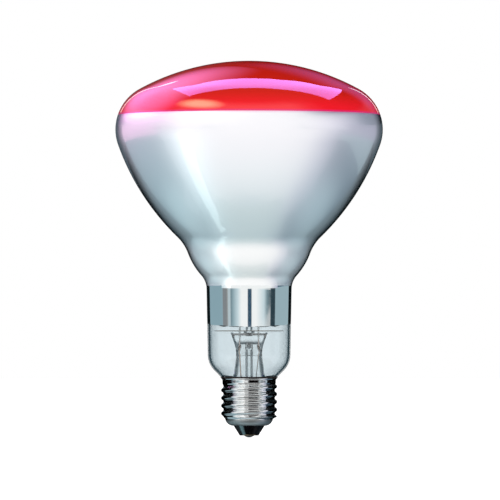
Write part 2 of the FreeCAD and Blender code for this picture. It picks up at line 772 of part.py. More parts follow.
def make_heat_shield():
    """Flat disc with one hole for the rod and one for each lead."""
    body = new_body("heat_shield_disc")
    play = size("shield_clearance")
    half = size("lead_spacing") / 2
    sketch = new_sketch(body, "shield_profile", "XY_Plane", shield_level())
    outline = Outline(sketch)
    circles = [(0.0, size("neck_radius") - size("shield_margin")), (0.0, size("arbor_radius") + play),
               (-half, size("inner_lead_radius") + play), (half, size("inner_lead_radius") + play)]
    for number, (across, radius) in enumerate(circles):
        centre = FreeCAD.Vector(float(across), 0, 0)
        sketch.addGeometry(Part.Circle(centre, FreeCAD.Vector(0, 0, 1), float(radius)), False)
        outline.tie("Radius", (number,), radius)
        outline.place((number, 3), across, 0)
    pad = body.newObject("PartDesign::Pad", "shield_sheet")
    pad.Profile = sketch
    pad.Length = float(size("shield_thickness"))
    pad.setExpression("Length", size("shield_thickness").formula)
    body.Tip = pad
    return body


def filament_end(side):
    """Place of one end of the filament, on the -1 or +1 side, seen from above."""
    half_gap = size("filament_gap_angle") / 2
    ring = size("filament_ring_radius")
    return ring * sine(half_gap) * side, -(ring * cosine(half_gap))


def make_inner_lead(label, side):
    """Stiff wire from the press, up through the shield, to one end of the filament."""
    half = size("lead_spacing") / 2 * side
    end_x, end_y = filament_end(side)
    reach_x = end_x - half
    reach = root(reach_x * reach_x + end_y * end_y)
    top = filament_level() + size("filament_coil_radius") + size("support_play")
    knee = shield_level() + size("inner_lead_rise")
    straight = top - size("inner_lead_straight")
    corners = [(0.0, press_level("seal_high_share")), (0.0, knee), (reach, straight), (reach, top)]
    body = wire_body(label, corners, size("inner_lead_radius"))
    turn = FreeCAD.Rotation(FreeCAD.Vector(0, 0, 1), math.degrees(math.atan2(end_y, reach_x)))
    body.Placement = FreeCAD.Placement(FreeCAD.Vector(float(half), 0, 0), turn)
    return body


def make_seal_wire(label, side):
    """Straight wire sealed in the press."""
    low = press_level("seal_low_share")
    high = press_level("seal_high_share")
    wire = doc.addObject("Part::Cylinder", label)
    wire.Label = label
    wire.setExpression("Radius", size("seal_wire_radius").formula)
    wire.setExpression("Height", (high - low).formula)
    wire.setExpression("Placement.Base.x", (size("lead_spacing") / 2 * side).formula)
    wire.setExpression("Placement.Base.z", low.formula)
    return wire


def make_contact_lead():
    """Lead from the press to the tip of the contact."""
    half = size("lead_spacing") / 2
    corners = [(-half, press_level("seal_low_share")), (-half, press_level("press_start_share")),
               (-(size("exhaust_radius") + size("lead_bow")), size("lead_bow_height")),
               (0.0, size("lead_centre_height")), (0.0, size("lead_end_height"))]
    return wire_body("outer_lead_contact", corners, size("outer_lead_radius"))


def shell_lead_plane():
    """Distances of the side lead in the press, by the throat and in its plane, and the plane's turn."""
    half = size("lead_spacing") / 2
    beside = size("throat_radius") + size("shell_lead_radius") + size("lead_clearance")
    span = root(half * half + beside * beside)
    turn = math.degrees(math.atan2(beside, -half))
    return half, beside, span, turn


def make_shell_lead():
    """Lead from the press, out under the flare, up beside the throat and out through the collar."""
    half, beside, span, turn = shell_lead_plane()
    hole = size("side_hole_height")
    under = size("throat_end_height") - size("shell_lead_drop")
    out = size("collar_radius") - beside
    corners = [(0.0, press_level("seal_low_share")), (0.0, press_level("press_start_share")),
               (span * size("shell_lead_knee_share"), size("shell_lead_knee_height")),
               (span * size("shell_lead_foot_share"), under), (span, under), (span, hole - out),
               (span + size("shell_lead_slant"), hole), (span + size("shell_lead_end"), hole)]
    body = wire_body("outer_lead_shell", corners, size("shell_lead_radius"))
    rotation = FreeCAD.Rotation(FreeCAD.Vector(0, 0, 1), turn)
    body.Placement = FreeCAD.Placement(FreeCAD.Vector(float(half), 0, 0), rotation)
    return body


def side_hole_direction():
    """Turn, seen from above, at which the side lead crosses the collar."""
    half, beside, _, _ = shell_lead_plane()
    share = size("collar_radius") / beside
    return math.degrees(math.atan2(beside * share, half * (1 - share)))


def make_filament_blank():
    """Coil as a hollow ring with an open part at the front."""
    body = new_body("filament_blank")
    ring = size("filament_ring_radius")
    level = filament_level()
    sketch = new_sketch(body, "filament_profile")
    outline = Outline(sketch)
    for number, radius in enumerate((size("filament_coil_radius"), size("filament_coil_bore"))):
        centre = FreeCAD.Vector(float(ring), float(level), 0)
        sketch.addGeometry(Part.Circle(centre, FreeCAD.Vector(0, 0, 1), float(radius)), False)
        outline.tie("Radius", (number,), radius)
        outline.place((number, 3), ring, level)
    gap = size("filament_gap_angle")
    revolve(body, sketch, -gap + 360)
    turn = FreeCAD.Rotation(FreeCAD.Vector(0, 0, 1), float(gap) / 2 - 90)
    body.Placement = FreeCAD.Placement(FreeCAD.Vector(0, 0, 0), turn)
    return body


def make_support(number):
    """Thin wire from the button to the coil, ending in a loop round it."""
    label = "filament_support_%d" % number
    ring = size("filament_ring_radius")
    rise = size("button_drop")
    wire_radius = size("support_radius")
    loop = size("filament_coil_radius") + size("support_play") + wire_radius
    reach = root(ring * ring + rise * rise)
    start = size("support_start")
    lean = math.atan2(ring, rise)
    loop_wire = doc.addObject("Part::Torus", label + "_loop")
    loop_wire.setExpression("Radius1", loop.formula)
    loop_wire.setExpression("Radius2", wire_radius.formula)
    loop_wire.setExpression("Placement.Base.x", ring.formula)
    loop_wire.setExpression("Placement.Base.z", filament_level().formula)
    loop_wire.Placement.Rotation = FreeCAD.Rotation(FreeCAD.Vector(1, 0, 0), 90)
    straight = doc.addObject("Part::Cylinder", label + "_straight")
    straight.setExpression("Radius", wire_radius.formula)
    straight.setExpression("Height", (reach - loop - start).formula)
    straight.Placement = FreeCAD.Placement(
        FreeCAD.Vector(start * math.sin(lean), 0, button_level() + start * math.cos(lean)),
        FreeCAD.Rotation(FreeCAD.Vector(0, 1, 0), math.degrees(lean)))
    support = doc.addObject("Part::Fuse", label)
    support.Label = label
    support.Base = loop_wire
    support.Tool = straight
    gap = size("filament_gap_angle")
    share = (number - 0.5) / size("support_count")
    azimuth = float(gap) / 2 - 90 + share * (360 - gap)
    support.Placement = FreeCAD.Placement(
        FreeCAD.Vector(0, 0, 0), FreeCAD.Rotation(FreeCAD.Vector(0, 0, 1), float(azimuth)))
    return support


def ease(share):
    """Rise smoothly from 0 to 1."""
    share = min(max(share, 0.0), 1.0)
    return share * share * (3 - 2 * share)


def shell_radius(height, turn):
    """Outer radius of the screw shell at a height, with the thread crest of that turn."""
    pitch = size("thread_pitch")
    arc = size("thread_round")
    crest = size("thread_crest_radius")
    half_depth = arc - math.sqrt(arc * arc - (pitch / 4) ** 2)
    thread_root = crest - 2 * half_depth
    seam = size("seam_height")
    seam_radius = size("shell_hole_radius") + math.sqrt(
        size("shoulder_radius") ** 2 - (size("shell_foot_height") + size("shoulder_radius") - seam) ** 2)
    collar_foot = size("collar_foot_height")
    flare = size("rim_flare_height")
    run_out = size("thread_run_out")
    base = seam_radius + (thread_root - seam_radius) * ease((height - seam) / size("seam_run"))
    base += (size("collar_radius") - thread_root) * ease((height - collar_foot + run_out) / run_out)
    flared = max(height - flare, 0.0) / (size("cap_rim_height") - flare)
    base += (size("cap_rim_radius") - size("collar_radius")) * flared * flared
    along = (height - size("thread_start_height")) / pitch - turn
    away = abs(along - round(along)) * pitch
    if away < pitch / 4:
        wave = 2 * half_depth - arc + math.sqrt(arc * arc - away * away)
    else:
        wave = arc - math.sqrt(arc * arc - (pitch / 2 - away) ** 2)
    rise = ease((height - size("thread_foot_height")) / size("thread_run_in"))
    fade = ease((size("thread_end_height") - height) / run_out)
    return base + wave * rise * fade


def shell_profile(turn):
    """Outer points of the screw shell on one side, from its hole up to its rim."""
    shoulder = size("shoulder_radius")
    middle = (float(size("shell_hole_radius")), size("shell_foot_height") + shoulder)
    seam = size("seam_height")
    last_angle = math.asin((middle[1] - seam) / shoulder)
    sweep = math.pi / 2 - last_angle
    count = max(int(round(shoulder * sweep / PROFILE_STEP)), 2)
    points = []
    for number in range(count):
        angle = -math.pi / 2 + sweep * number / count
        points.append((middle[0] + shoulder * math.cos(angle), middle[1] + shoulder * math.sin(angle)))
    height = size("cap_rim_height") - seam
    count = max(int(round(height / PROFILE_STEP)), 2)
    for number in range(count + 1):
        level = seam + height * number / count
        points.append((shell_radius(level, turn), float(level)))
    return points


def inset_points(points, distance):
    """Move a run of points sideways, towards the inside of the shell."""
    moved = []
    last = len(points) - 1
    for number, (across, up) in enumerate(points):
        before = points[max(number - 1, 0)]
        after = points[min(number + 1, last)]
        run = (after[0] - before[0], after[1] - before[1])
        length = math.hypot(*run)
        moved.append((across - distance * run[1] / length, up + distance * run[0] / length))
    return moved


def turned_surface(rows):
    """Smooth surface, closed round the axis, that follows one run of points for each turn step."""
    count = len(rows)
    keep = 3 / (2 + math.cos(2 * math.pi / count))
    poles = []
    for number, row in enumerate(rows):
        angle = 2 * math.pi * number / count
        poles.append([FreeCAD.Vector(across * keep * math.cos(angle), across * keep * math.sin(angle), up)
                      for across, up in row])
    spans = len(rows[0]) - DEGREE
    surface = Part.BSplineSurface()
    surface.buildFromPolesMultsKnots(
        poles, [1] * (count + 1), [DEGREE + 1] + [1] * (spans - 1) + [DEGREE + 1],
        [float(knot) for knot in range(count + 1)], [float(knot) for knot in range(spans + 1)],
        True, False, DEGREE, DEGREE)
    return surface.toShape()


def make_shell_sheet():
    """Screw shell as one even sheet with the rolled right-hand thread, shoulder, collar and rim."""
    outer_rows = []
    inner_rows = []
    for number in range(THREAD_STEPS):
        points = shell_profile(number / THREAD_STEPS)
        outer_rows.append(points)
        inner_rows.append(inset_points(points, float(size("sheet_thickness"))))
    outer = turned_surface(outer_rows)
    inner = turned_surface(inner_rows)

    def end_edges(face):
        rings = [edge for edge in face.Edges if edge.BoundBox.ZLength < PROFILE_STEP and edge.isClosed()]
        return sorted(rings, key=lambda edge: edge.CenterOfMass.z)

    faces = [outer, inner]
    for one, other in zip(end_edges(outer), end_edges(inner)):
        faces.append(Part.makeRuledSurface(one, other))
    skin = Part.makeShell(faces)
    skin.sewShape()
    solid = Part.makeSolid(skin)
    if solid.Volume < 0:
        solid.reverse()
    sheet_piece = doc.addObject("Part::Feature", "shell_sheet")
    sheet_piece.Shape = solid
    return sheet_piece


def make_side_hole_tool():
    """Drill for the side lead's hole in the collar."""
    tool = doc.addObject("Part::Cylinder", "side_hole_tool")
    tool.setExpression("Radius", size("side_hole_radius").formula)
    tool.setExpression("Height", size("side_drill_length").formula)
    angle = math.radians(side_hole_direction())
    start = size("collar_radius") - size("side_drill_length") / 2
    direction = FreeCAD.Vector(math.cos(angle), math.sin(angle), 0)
    turn = FreeCAD.Rotation(FreeCAD.Vector(0, 0, 1), direction)
    tool.Placement = FreeCAD.Placement(direction * float(start), turn)
    tool.Placement.Base.z = float(size("side_hole_height"))
    return tool


def make_insulator_blank():
    """Black glass cone, poured into the foot of the shell round the lead's hole."""
    body = new_body("insulator_blank")
    sketch = new_sketch(body, "insulator_profile")
    outline = Outline(sketch)
    bore = size("insulator_bore")
    low = size("contact_height") + size("contact_thickness")
    foot = size("insulator_foot_radius")
    hole = size("shell_hole_radius")
    shell_foot = size("shell_foot_height")
    half_sheet = size("sheet_thickness") / 2
    arc = size("shoulder_radius") - half_sheet
    middle = shell_foot + size("shoulder_radius")
    seam = size("seam_height")
    top_across = hole + root(arc * arc - (middle - seam) * (middle - seam))
    inside = size("insulator_top_radius")
    corners = [(bore, low), (foot, low), (hole - size("insulator_step"), shell_foot),
               (hole, shell_foot + half_sheet)]
    for start, end in zip(corners, corners[1:]):
        outline.line(start, end)
    outline.arc(corners[-1], (top_across, seam), (hole, middle), False)
    outline.line((top_across, seam), (inside, seam))
    outline.line((inside, seam), (bore, shell_foot))
    outline.line((bore, shell_foot), (bore, low))
    for piece in range(7):
        outline.join(piece, (piece + 1) % 7)
    for piece, corner in enumerate(corners):
        outline.place(outline.starts[piece], *corner)
    outline.place((3, 3), hole, middle)
    outline.place(outline.ends[3], up=seam)
    outline.place(outline.ends[4], inside, seam)
    outline.place(outline.ends[5], bore, shell_foot)
    revolve(body, sketch)
    return body


def make_centre_contact():
    """Round metal plate with a hole for the lead and a rounded lower edge."""
    low = size("contact_height")
    high = low + size("contact_thickness")
    body = turned_body("centre_contact", [(size("contact_hole_radius"), low), (size("contact_radius"), low),
                                          (size("contact_radius"), high),
                                          (size("contact_hole_radius"), high)])
    doc.recompute()
    plate = body.Tip
    rims = [number for number, edge in enumerate(plate.Shape.Edges, start=1)
            if edge.BoundBox.ZMax < low + TOUCH and edge.BoundBox.XMax > size("contact_radius") - TOUCH]
    rounded = body.newObject("PartDesign::Fillet", "contact_edge_round")
    rounded.Base = (plate, ["Edge%d" % number for number in rims])
    rounded.Radius = float(size("contact_edge"))
    rounded.setExpression("Radius", size("contact_edge").formula)
    body.Tip = rounded
    return body


def make_mound(label, radius, height, neck_radius, neck_length):
    """Round solder mound with a short plug behind it; its flat side faces up and its top is at 0."""
    body = new_body(label)
    sketch = new_sketch(body, label + "_profile")
    outline = Outline(sketch)
    curve = (radius * radius + height * height) / (height * 2)
    outline.arc((0.0, 0.0), (radius, height), (0.0, float(curve)), False)
    outline.line((radius, height), (neck_radius, height))
    outline.line((neck_radius, height), (neck_radius, height + neck_length))
    outline.line((neck_radius, height + neck_length), (0.0, height + neck_length))
    outline.line((0.0, height + neck_length), (0.0, 0.0))
    for piece in range(5):
        outline.join(piece, (piece + 1) % 5)
    outline.place((0, 3), 0)
    outline.place(outline.starts[0], 0, 0)
    outline.place(outline.starts[1], radius, height)
    outline.place(outline.starts[2], neck_radius, height)
    outline.place(outline.starts[3], neck_radius, height + neck_length)
    outline.place(outline.starts[4], 0, height + neck_length)
    revolve(body, sketch)
    return body


def make_side_solder_blank():
    """Solder mound on the side hole; its plug reaches into the metal."""
    height = size("side_solder_height") + size("sheet_thickness") / 2
    plug = size("side_hole_radius") + size("side_plug_overlap")
    radius = size("side_solder_radius")
    body = make_mound("side_solder_blank", radius, height, plug, size("side_plug_length"))
    angle = math.radians(side_hole_direction())
    direction = FreeCAD.Vector(math.cos(angle), math.sin(angle), 0)
    reach = size("collar_radius") + size("side_solder_height")
    rotation = FreeCAD.Rotation(FreeCAD.Vector(0, 0, 1), direction * -1)
    body.Placement = FreeCAD.Placement(direction * float(reach), rotation)
    body.Placement.Base.z = float(size("side_hole_height"))
    return body


def make_cement_blank():
    """Cement inside the collar, with the bead that closes the rim; the glass takes its place in it."""
    in_glass = size("throat_radius") - size("glass_overlap")
    foot = size("cement_foot_height")
    outer = size("collar_radius") - size("sheet_thickness") - size("cement_play")
    bead = size("bead_radius")
    bead_foot = size("bead_foot_height")
    top = size("bead_top_height")
    return turned_body("cement_blank", [
        (in_glass, foot), (outer, foot), (outer, size("rim_flare_height")),
        (size("cement_bend_radius"), size("cement_bend_height")), (size("cement_rim_radius"), bead_foot),
        (bead, bead_foot), (bead, size("bead_shoulder_height")), (size("bead_top_radius"), top),
        (size("bead_top_radius") - size("glass_overlap"), top)])


def build_pieces():
    """Make every piece and return the ones to keep, by name."""
    pieces = {}
    glass = make_glass_bulb()
    pieces["glass_bulb"] = glass
    seals = []
    inner_leads = []
    for word, side in (("left", -1), ("right", 1)):
        seals.append(make_seal_wire("seal_wire_" + word, side))
        inner_leads.append(make_inner_lead("inner_lead_" + word, side))
    contact_lead = make_contact_lead()
    shell_lead = make_shell_lead()
    leads = seals + inner_leads + [contact_lead, shell_lead]
    hole_tool = make_exhaust_hole_tool()
    exhaust_blank = make_exhaust_blank()
    arbor_blank = make_arbor_blank()
    exhaust = cut("exhaust_tube", exhaust_blank, [hole_tool])
    stem = cut("stem_flare", make_stem_blank(), leads + [exhaust_blank, arbor_blank, hole_tool])
    supports = [make_support(number) for number in range(1, int(size("support_count")) + 1)]
    arbor = cut("glass_arbor", arbor_blank, supports)
    filament = cut("filament", make_filament_blank(), inner_leads)
    shell = cut("cap_shell", make_shell_sheet(), [make_side_hole_tool()])
    insulator = cut("cap_insulator", make_insulator_blank(), [shell])
    contact = make_centre_contact()
    mound = make_mound("solder_blank", size("solder_radius"), size("contact_height"),
                       size("contact_hole_radius"), size("contact_thickness"))
    tip = cut("tip_solder", mound, [contact_lead])
    side = cut("side_solder", make_side_solder_blank(), [shell, shell_lead])
    cement = cut("capping_cement", make_cement_blank(), [glass])
    bodies = [exhaust, stem, arbor, filament, shell, insulator, contact, tip, side, cement]
    for piece in leads + supports + bodies:
        pieces[piece.Label] = piece
    pieces["heat_shield_disc"] = make_heat_shield()
    doc.recompute()
    return pieces


def check_and_write(pieces):
    """Stop if anything failed, and write one file for each piece."""
    for item in doc.Objects:
        if "Invalid" in item.State or "Error" in item.State:
            raise RuntimeError("%s is not built: %s" % (item.Label, item.State))
    for name, piece in pieces.items():
        shape = piece.Shape
        if shape.isNull() or not shape.isValid() or len(shape.Solids) != 1:
            raise RuntimeError("%s has no single valid solid" % name)
    os.makedirs("parts", exist_ok=True)
    for name, piece in pieces.items():
        piece.Shape.exportStep("parts/%s.step" % name)
        print("%-24s %10.2f mm3" % (name, piece.Shape.Volume))


fill_sheet()
check_and_write(build_pieces())
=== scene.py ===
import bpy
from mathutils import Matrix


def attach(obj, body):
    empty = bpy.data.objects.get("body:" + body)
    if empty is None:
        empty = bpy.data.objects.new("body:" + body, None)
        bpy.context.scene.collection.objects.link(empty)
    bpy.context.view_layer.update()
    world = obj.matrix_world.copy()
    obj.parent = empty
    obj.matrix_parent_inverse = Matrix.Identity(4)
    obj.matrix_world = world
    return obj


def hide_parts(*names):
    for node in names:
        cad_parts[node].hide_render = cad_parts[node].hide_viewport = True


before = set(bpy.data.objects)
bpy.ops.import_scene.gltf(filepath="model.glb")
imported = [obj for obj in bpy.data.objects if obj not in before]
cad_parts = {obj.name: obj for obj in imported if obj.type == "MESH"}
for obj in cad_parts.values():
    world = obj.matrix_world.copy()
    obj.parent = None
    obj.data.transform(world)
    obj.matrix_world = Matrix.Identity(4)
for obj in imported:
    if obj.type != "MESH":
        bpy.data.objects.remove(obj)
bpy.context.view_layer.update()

import logging
import math
from collections.abc import Callable
from dataclasses import dataclass
from enum import Enum

import bpy
from mathutils import Vector

MM = 0.001
ROOT = "root"
WHITE = (1.0, 1.0, 1.0, 1.0)
BLACK = (0.0, 0.0, 0.0, 1.0)
ON_AXIS = 1e-6

Point = tuple[float, float]
Place = tuple[float, float, float]
Colour = tuple[float, float, float]
log = logging.getLogger("heat_lamp")


class Zone(Enum):
    """Finish of one belt of the blown glass."""

    RUBY = 0
    SATIN = 1
    MIRROR = 2
    CLEAR = 3


class ShellZone(Enum):
    """Finish of one belt of the screw shell."""

    ROLLED = 0
    SHOULDER = 1


def opaque(colour: Colour) -> tuple[float, float, float, float]:
    """Give a colour its alpha of 1."""
    return (*colour, 1.0)


def add_node(tree: bpy.types.NodeTree, kind: str, inputs: dict | None = None,
             **settings: object) -> bpy.types.Node:
    """Add a node, set its options, and link or fill its sockets.

    Args:
        tree: node tree that gets the node.
        kind: node type, such as ShaderNodeMath.
        inputs: socket name or number to a value or to another node's output.
        settings: options of the node itself.

    Returns:
        The new node.
    """
    made = tree.nodes.new(kind)
    for option, value in settings.items():
        setattr(made, option, value)
    for socket, value in (inputs or {}).items():
        if isinstance(value, bpy.types.NodeSocket):
            tree.links.new(value, made.inputs[socket])
        else:
            made.inputs[socket].default_value = value
    return made


def math_node(tree: bpy.types.NodeTree, operation: str, *values: object) -> bpy.types.NodeSocket:
    """Add a math node and give back its result."""
    return add_node(tree, "ShaderNodeMath", dict(enumerate(values)), operation=operation).outputs[0]


def mix_colours(tree: bpy.types.NodeTree, factor: object, first: object,
                second: object) -> bpy.types.NodeSocket:
    """Mix two colours by a factor and give back the result."""
    return add_node(tree, "ShaderNodeMix", {0: factor, 6: first, 7: second}, data_type="RGBA").outputs[2]


def ramp_between(tree: bpy.types.NodeTree, value: object, low: object, high: object,
                 bottom: object = 0.0, top: object = 1.0) -> bpy.types.NodeSocket:
    """Map a value smoothly from one range to another."""
    inputs = {"Value": value, "From Min": low, "From Max": high, "To Min": bottom, "To Max": top}
    return add_node(tree, "ShaderNodeMapRange", inputs, interpolation_type="SMOOTHSTEP").outputs["Result"]


class SharedEffects:
    """Node groups that several finishes use, each built once."""

    grain_band: Point = (0.3, 0.7)
    stain_band: Point = (0.45, 0.75)

    def __init__(self) -> None:
        """Build the groups."""
        self.grain = self._build_grain()
        self.grime = self._build_grime()
        self.height_fade = self._build_height_fade()
        self.turn_shade = self._build_turn_shade()

    @staticmethod
    def _start(name: str, inputs: dict[str, float | tuple], outputs: dict[str, str]
               ) -> tuple[bpy.types.NodeTree, bpy.types.Node, bpy.types.Node]:
        """Start a group with named sockets.

        Args:
            name: name of the group.
            inputs: socket name to its default, a number or a colour.
            outputs: socket name to its socket type.

        Returns:
            The tree, its input node and its output node.
        """
        tree = bpy.data.node_groups.new(name, "ShaderNodeTree")
        for label, value in inputs.items():
            kind = "NodeSocketFloat" if isinstance(value, float) else "NodeSocketColor"
            tree.interface.new_socket(name=label, in_out="INPUT", socket_type=kind).default_value = value
        for label, kind in outputs.items():
            tree.interface.new_socket(name=label, in_out="OUTPUT", socket_type=kind)
        return tree, tree.nodes.new("NodeGroupInput"), tree.nodes.new("NodeGroupOutput")

    @staticmethod
    def _noise(tree: bpy.types.NodeTree, scale: bpy.types.NodeSocket, detail: float,
               roughness: float) -> bpy.types.NodeSocket:
        """Add a noise that stays with the piece, and give back its value."""
        place = add_node(tree, "ShaderNodeTexCoord").outputs["Object"]
        return add_node(tree, "ShaderNodeTexNoise", {
            "Vector": place, "Scale": scale, "Detail": detail, "Roughness": roughness}).outputs[0]

    @staticmethod
    def _put_out(tree: bpy.types.NodeTree, out: bpy.types.Node, mask: bpy.types.NodeSocket,
                 first: bpy.types.NodeSocket, second: bpy.types.NodeSocket) -> None:
        """Put out a mask and the two colours mixed by it."""
        tree.links.new(mix_colours(tree, mask, first, second), out.inputs["Color"])
        tree.links.new(mask, out.inputs["Mask"])

    def _build_grain(self) -> bpy.types.NodeTree:
        """Fine uneven value over the surface, for roughness and small bumps.

        Returns:
            The node group.
        """
        tree, given, out = self._start("Fine grain", {"Scale": 400.0, "Low": 0.2, "High": 0.3},
                                       {"Value": "NodeSocketFloat", "Height": "NodeSocketFloat"})
        noise = self._noise(tree, given.outputs["Scale"], 4.0, 0.6)
        value = ramp_between(tree, noise, *self.grain_band, given.outputs["Low"], given.outputs["High"])
        tree.links.new(value, out.inputs["Value"])
        tree.links.new(noise, out.inputs["Height"])
        return tree

    def _build_grime(self) -> bpy.types.NodeTree:
        """Clean colour with soft stains of another colour.

        Returns:
            The node group.
        """
        tree, given, out = self._start(
            "Surface stains", {"Clean": WHITE, "Stain": BLACK, "Scale": 60.0, "Amount": 0.3},
            {"Color": "NodeSocketColor", "Mask": "NodeSocketFloat"})
        noise = self._noise(tree, given.outputs["Scale"], 6.0, 0.65)
        stains = ramp_between(tree, noise, *self.stain_band)
        mask = math_node(tree, "MULTIPLY", stains, given.outputs["Amount"])
        self._put_out(tree, out, mask, given.outputs["Clean"], given.outputs["Stain"])
        return tree

    def _build_height_fade(self) -> bpy.types.NodeTree:
        """Colour that fades from one to another between two heights.

        Returns:
            The node group.
        """
        tree, given, out = self._start(
            "Height fade", {"Low Color": BLACK, "High Color": WHITE, "Low": 0.0, "High": 1.0},
            {"Color": "NodeSocketColor", "Mask": "NodeSocketFloat"})
        place = add_node(tree, "ShaderNodeTexCoord").outputs["Object"]
        height = add_node(tree, "ShaderNodeSeparateXYZ", {0: place}).outputs["Z"]
        mask = ramp_between(tree, height, given.outputs["Low"], given.outputs["High"])
        self._put_out(tree, out, mask, given.outputs["Low Color"], given.outputs["High Color"])
        return tree

    def _build_turn_shade(self) -> bpy.types.NodeTree:
        """Painted shade: colour that darkens where a facing value, given from outside, is high.

        Returns:
            The node group.
        """
        tree, given, out = self._start(
            "Turn shade", {"Color": WHITE, "Rim Color": BLACK, "Facing": 0.0, "Low": 0.7, "High": 1.0},
            {"Color": "NodeSocketColor", "Mask": "NodeSocketFloat"})
        mask = ramp_between(tree, given.outputs["Facing"], given.outputs["Low"], given.outputs["High"])
        self._put_out(tree, out, mask, given.outputs["Color"], given.outputs["Rim Color"])
        return tree


def start_material(name: str, settings: dict[str, object]) -> tuple[bpy.types.Material, bpy.types.Node]:
    """Make a material with one Principled shader.

    Args:
        name: name of the material.
        settings: socket name to its plain value.

    Returns:
        The material and its Principled node.
    """
    material = bpy.data.materials.new(name)
    material.use_nodes = True
    shader = material.node_tree.nodes["Principled BSDF"]
    for socket, value in settings.items():
        shader.inputs[socket].default_value = value
    return material, shader


def place_group(material: bpy.types.Material, group: bpy.types.NodeTree,
                inputs: dict[str, object]) -> bpy.types.Node:
    """Put a shared effect into a material with its own values.

    Args:
        material: material that gets the effect.
        group: the shared node group.
        inputs: socket name to its value here.

    Returns:
        The group's node in the material.
    """
    made = material.node_tree.nodes.new("ShaderNodeGroup")
    made.node_tree = group
    for socket, value in inputs.items():
        made.inputs[socket].default_value = value
    return made


def place_grain(material: bpy.types.Material, shader: bpy.types.Node, effects: SharedEffects, scale: float,
                low: float, high: float) -> bpy.types.Node:
    """Give a material a roughness that varies with the fine grain.

    Args:
        material: material that gets the grain.
        shader: its Principled node.
        effects: the shared node groups.
        scale: fineness of the grain.
        low: lowest roughness.
        high: highest roughness.

    Returns:
        The grain's node in the material.
    """
    grain = place_group(material, effects.grain, {"Scale": scale, "Low": low, "High": high})
    material.node_tree.links.new(grain.outputs["Value"], shader.inputs["Roughness"])
    return grain


def place_fade(material: bpy.types.Material, effects: SharedEffects, low: float, high: float,
               **colours: Colour) -> bpy.types.Node:
    """Put a colour fade between two heights into a material.

    Args:
        material: material that gets the fade.
        effects: the shared node groups.
        low: height of the lower end, in millimetres.
        high: height of the upper end, in millimetres.
        colours: the plain colours, by the names below and above.

    Returns:
        The fade's node in the material.
    """
    sockets = {"below": "Low Color", "above": "High Color"}
    plain = {sockets[name]: opaque(colour) for name, colour in colours.items()}
    return place_group(material, effects.height_fade, {"Low": low * MM, "High": high * MM, **plain})


@dataclass(frozen=True)
class StainedFinish:
    """What metal and other opaque surfaces share: soft stains in the colour and a grain in the gloss."""

    name: str
    colour: Colour
    stain: Colour
    low_rough: float
    high_rough: float
    stain_amount: float = 0.3
    stain_scale: float = 220.0
    grain_scale: float = 900.0
    bump: float = 0.0
    bump_depth: float = 0.0002

    def _settings(self) -> dict[str, object]:
        """Plain values of the Principled shader."""
        return {}

    def build(self, effects: SharedEffects) -> bpy.types.Material:
        """Make the material.

        Args:
            effects: the shared node groups.

        Returns:
            The material.
        """
        material, shader = start_material(self.name, self._settings())
        tree = material.node_tree
        stains = place_group(material, effects.grime, {
            "Clean": opaque(self.colour), "Stain": opaque(self.stain), "Scale": self.stain_scale,
            "Amount": self.stain_amount})
        tree.links.new(stains.outputs["Color"], shader.inputs["Base Color"])
        grain = place_grain(material, shader, effects, self.grain_scale, self.low_rough, self.high_rough)
        if self.bump:
            bump = add_node(tree, "ShaderNodeBump", {
                "Height": grain.outputs["Height"], "Strength": self.bump, "Distance": self.bump_depth})
            tree.links.new(bump.outputs[0], shader.inputs["Normal"])
        return material


@dataclass(frozen=True)
class MetalFinish(StainedFinish):
    """Bare metal."""

    def _settings(self) -> dict[str, object]:
        """Plain values of the Principled shader."""
        return {"Metallic": 1.0}


@dataclass(frozen=True)
class MirrorFinish(StainedFinish):
    """Metal film inside the neck, seen through clear glass."""

    name: str = "mirror_neck"
    colour: Colour = (0.86, 0.89, 0.89)
    stain: Colour = (0.6, 0.64, 0.66)
    low_rough: float = 0.03
    high_rough: float = 0.06
    stain_amount: float = 0.12
    stain_scale: float = 90.0
    grain_scale: float = 300.0
    coat: float = 0.3

    def _settings(self) -> dict[str, object]:
        """Plain values of the Principled shader."""
        return {"Metallic": 1.0, "Coat Weight": self.coat, "Coat Roughness": 0.0}


@dataclass(frozen=True)
class SolidFinish(StainedFinish):
    """Opaque surface that isn't metal, such as cement, mica or black glass."""

    stain_amount: float = 0.4
    stain_scale: float = 300.0
    grain_scale: float = 1500.0
    bump_depth: float = 0.0003
    gloss: float = 0.5

    def _settings(self) -> dict[str, object]:
        """Plain values of the Principled shader."""
        return {"Specular IOR Level": self.gloss}


@dataclass(frozen=True)
class GlassFinish:
    """Clear glass with a faint tint."""

    name: str
    tint: Colour
    ior: float = 1.5

    def build(self) -> bpy.types.Material:
        """Make the material."""
        material, _ = start_material(self.name, {
            "Base Color": opaque(self.tint), "Transmission Weight": 1.0, "Roughness": 0.0, "IOR": self.ior,
            "Metallic": 0.0})
        return material


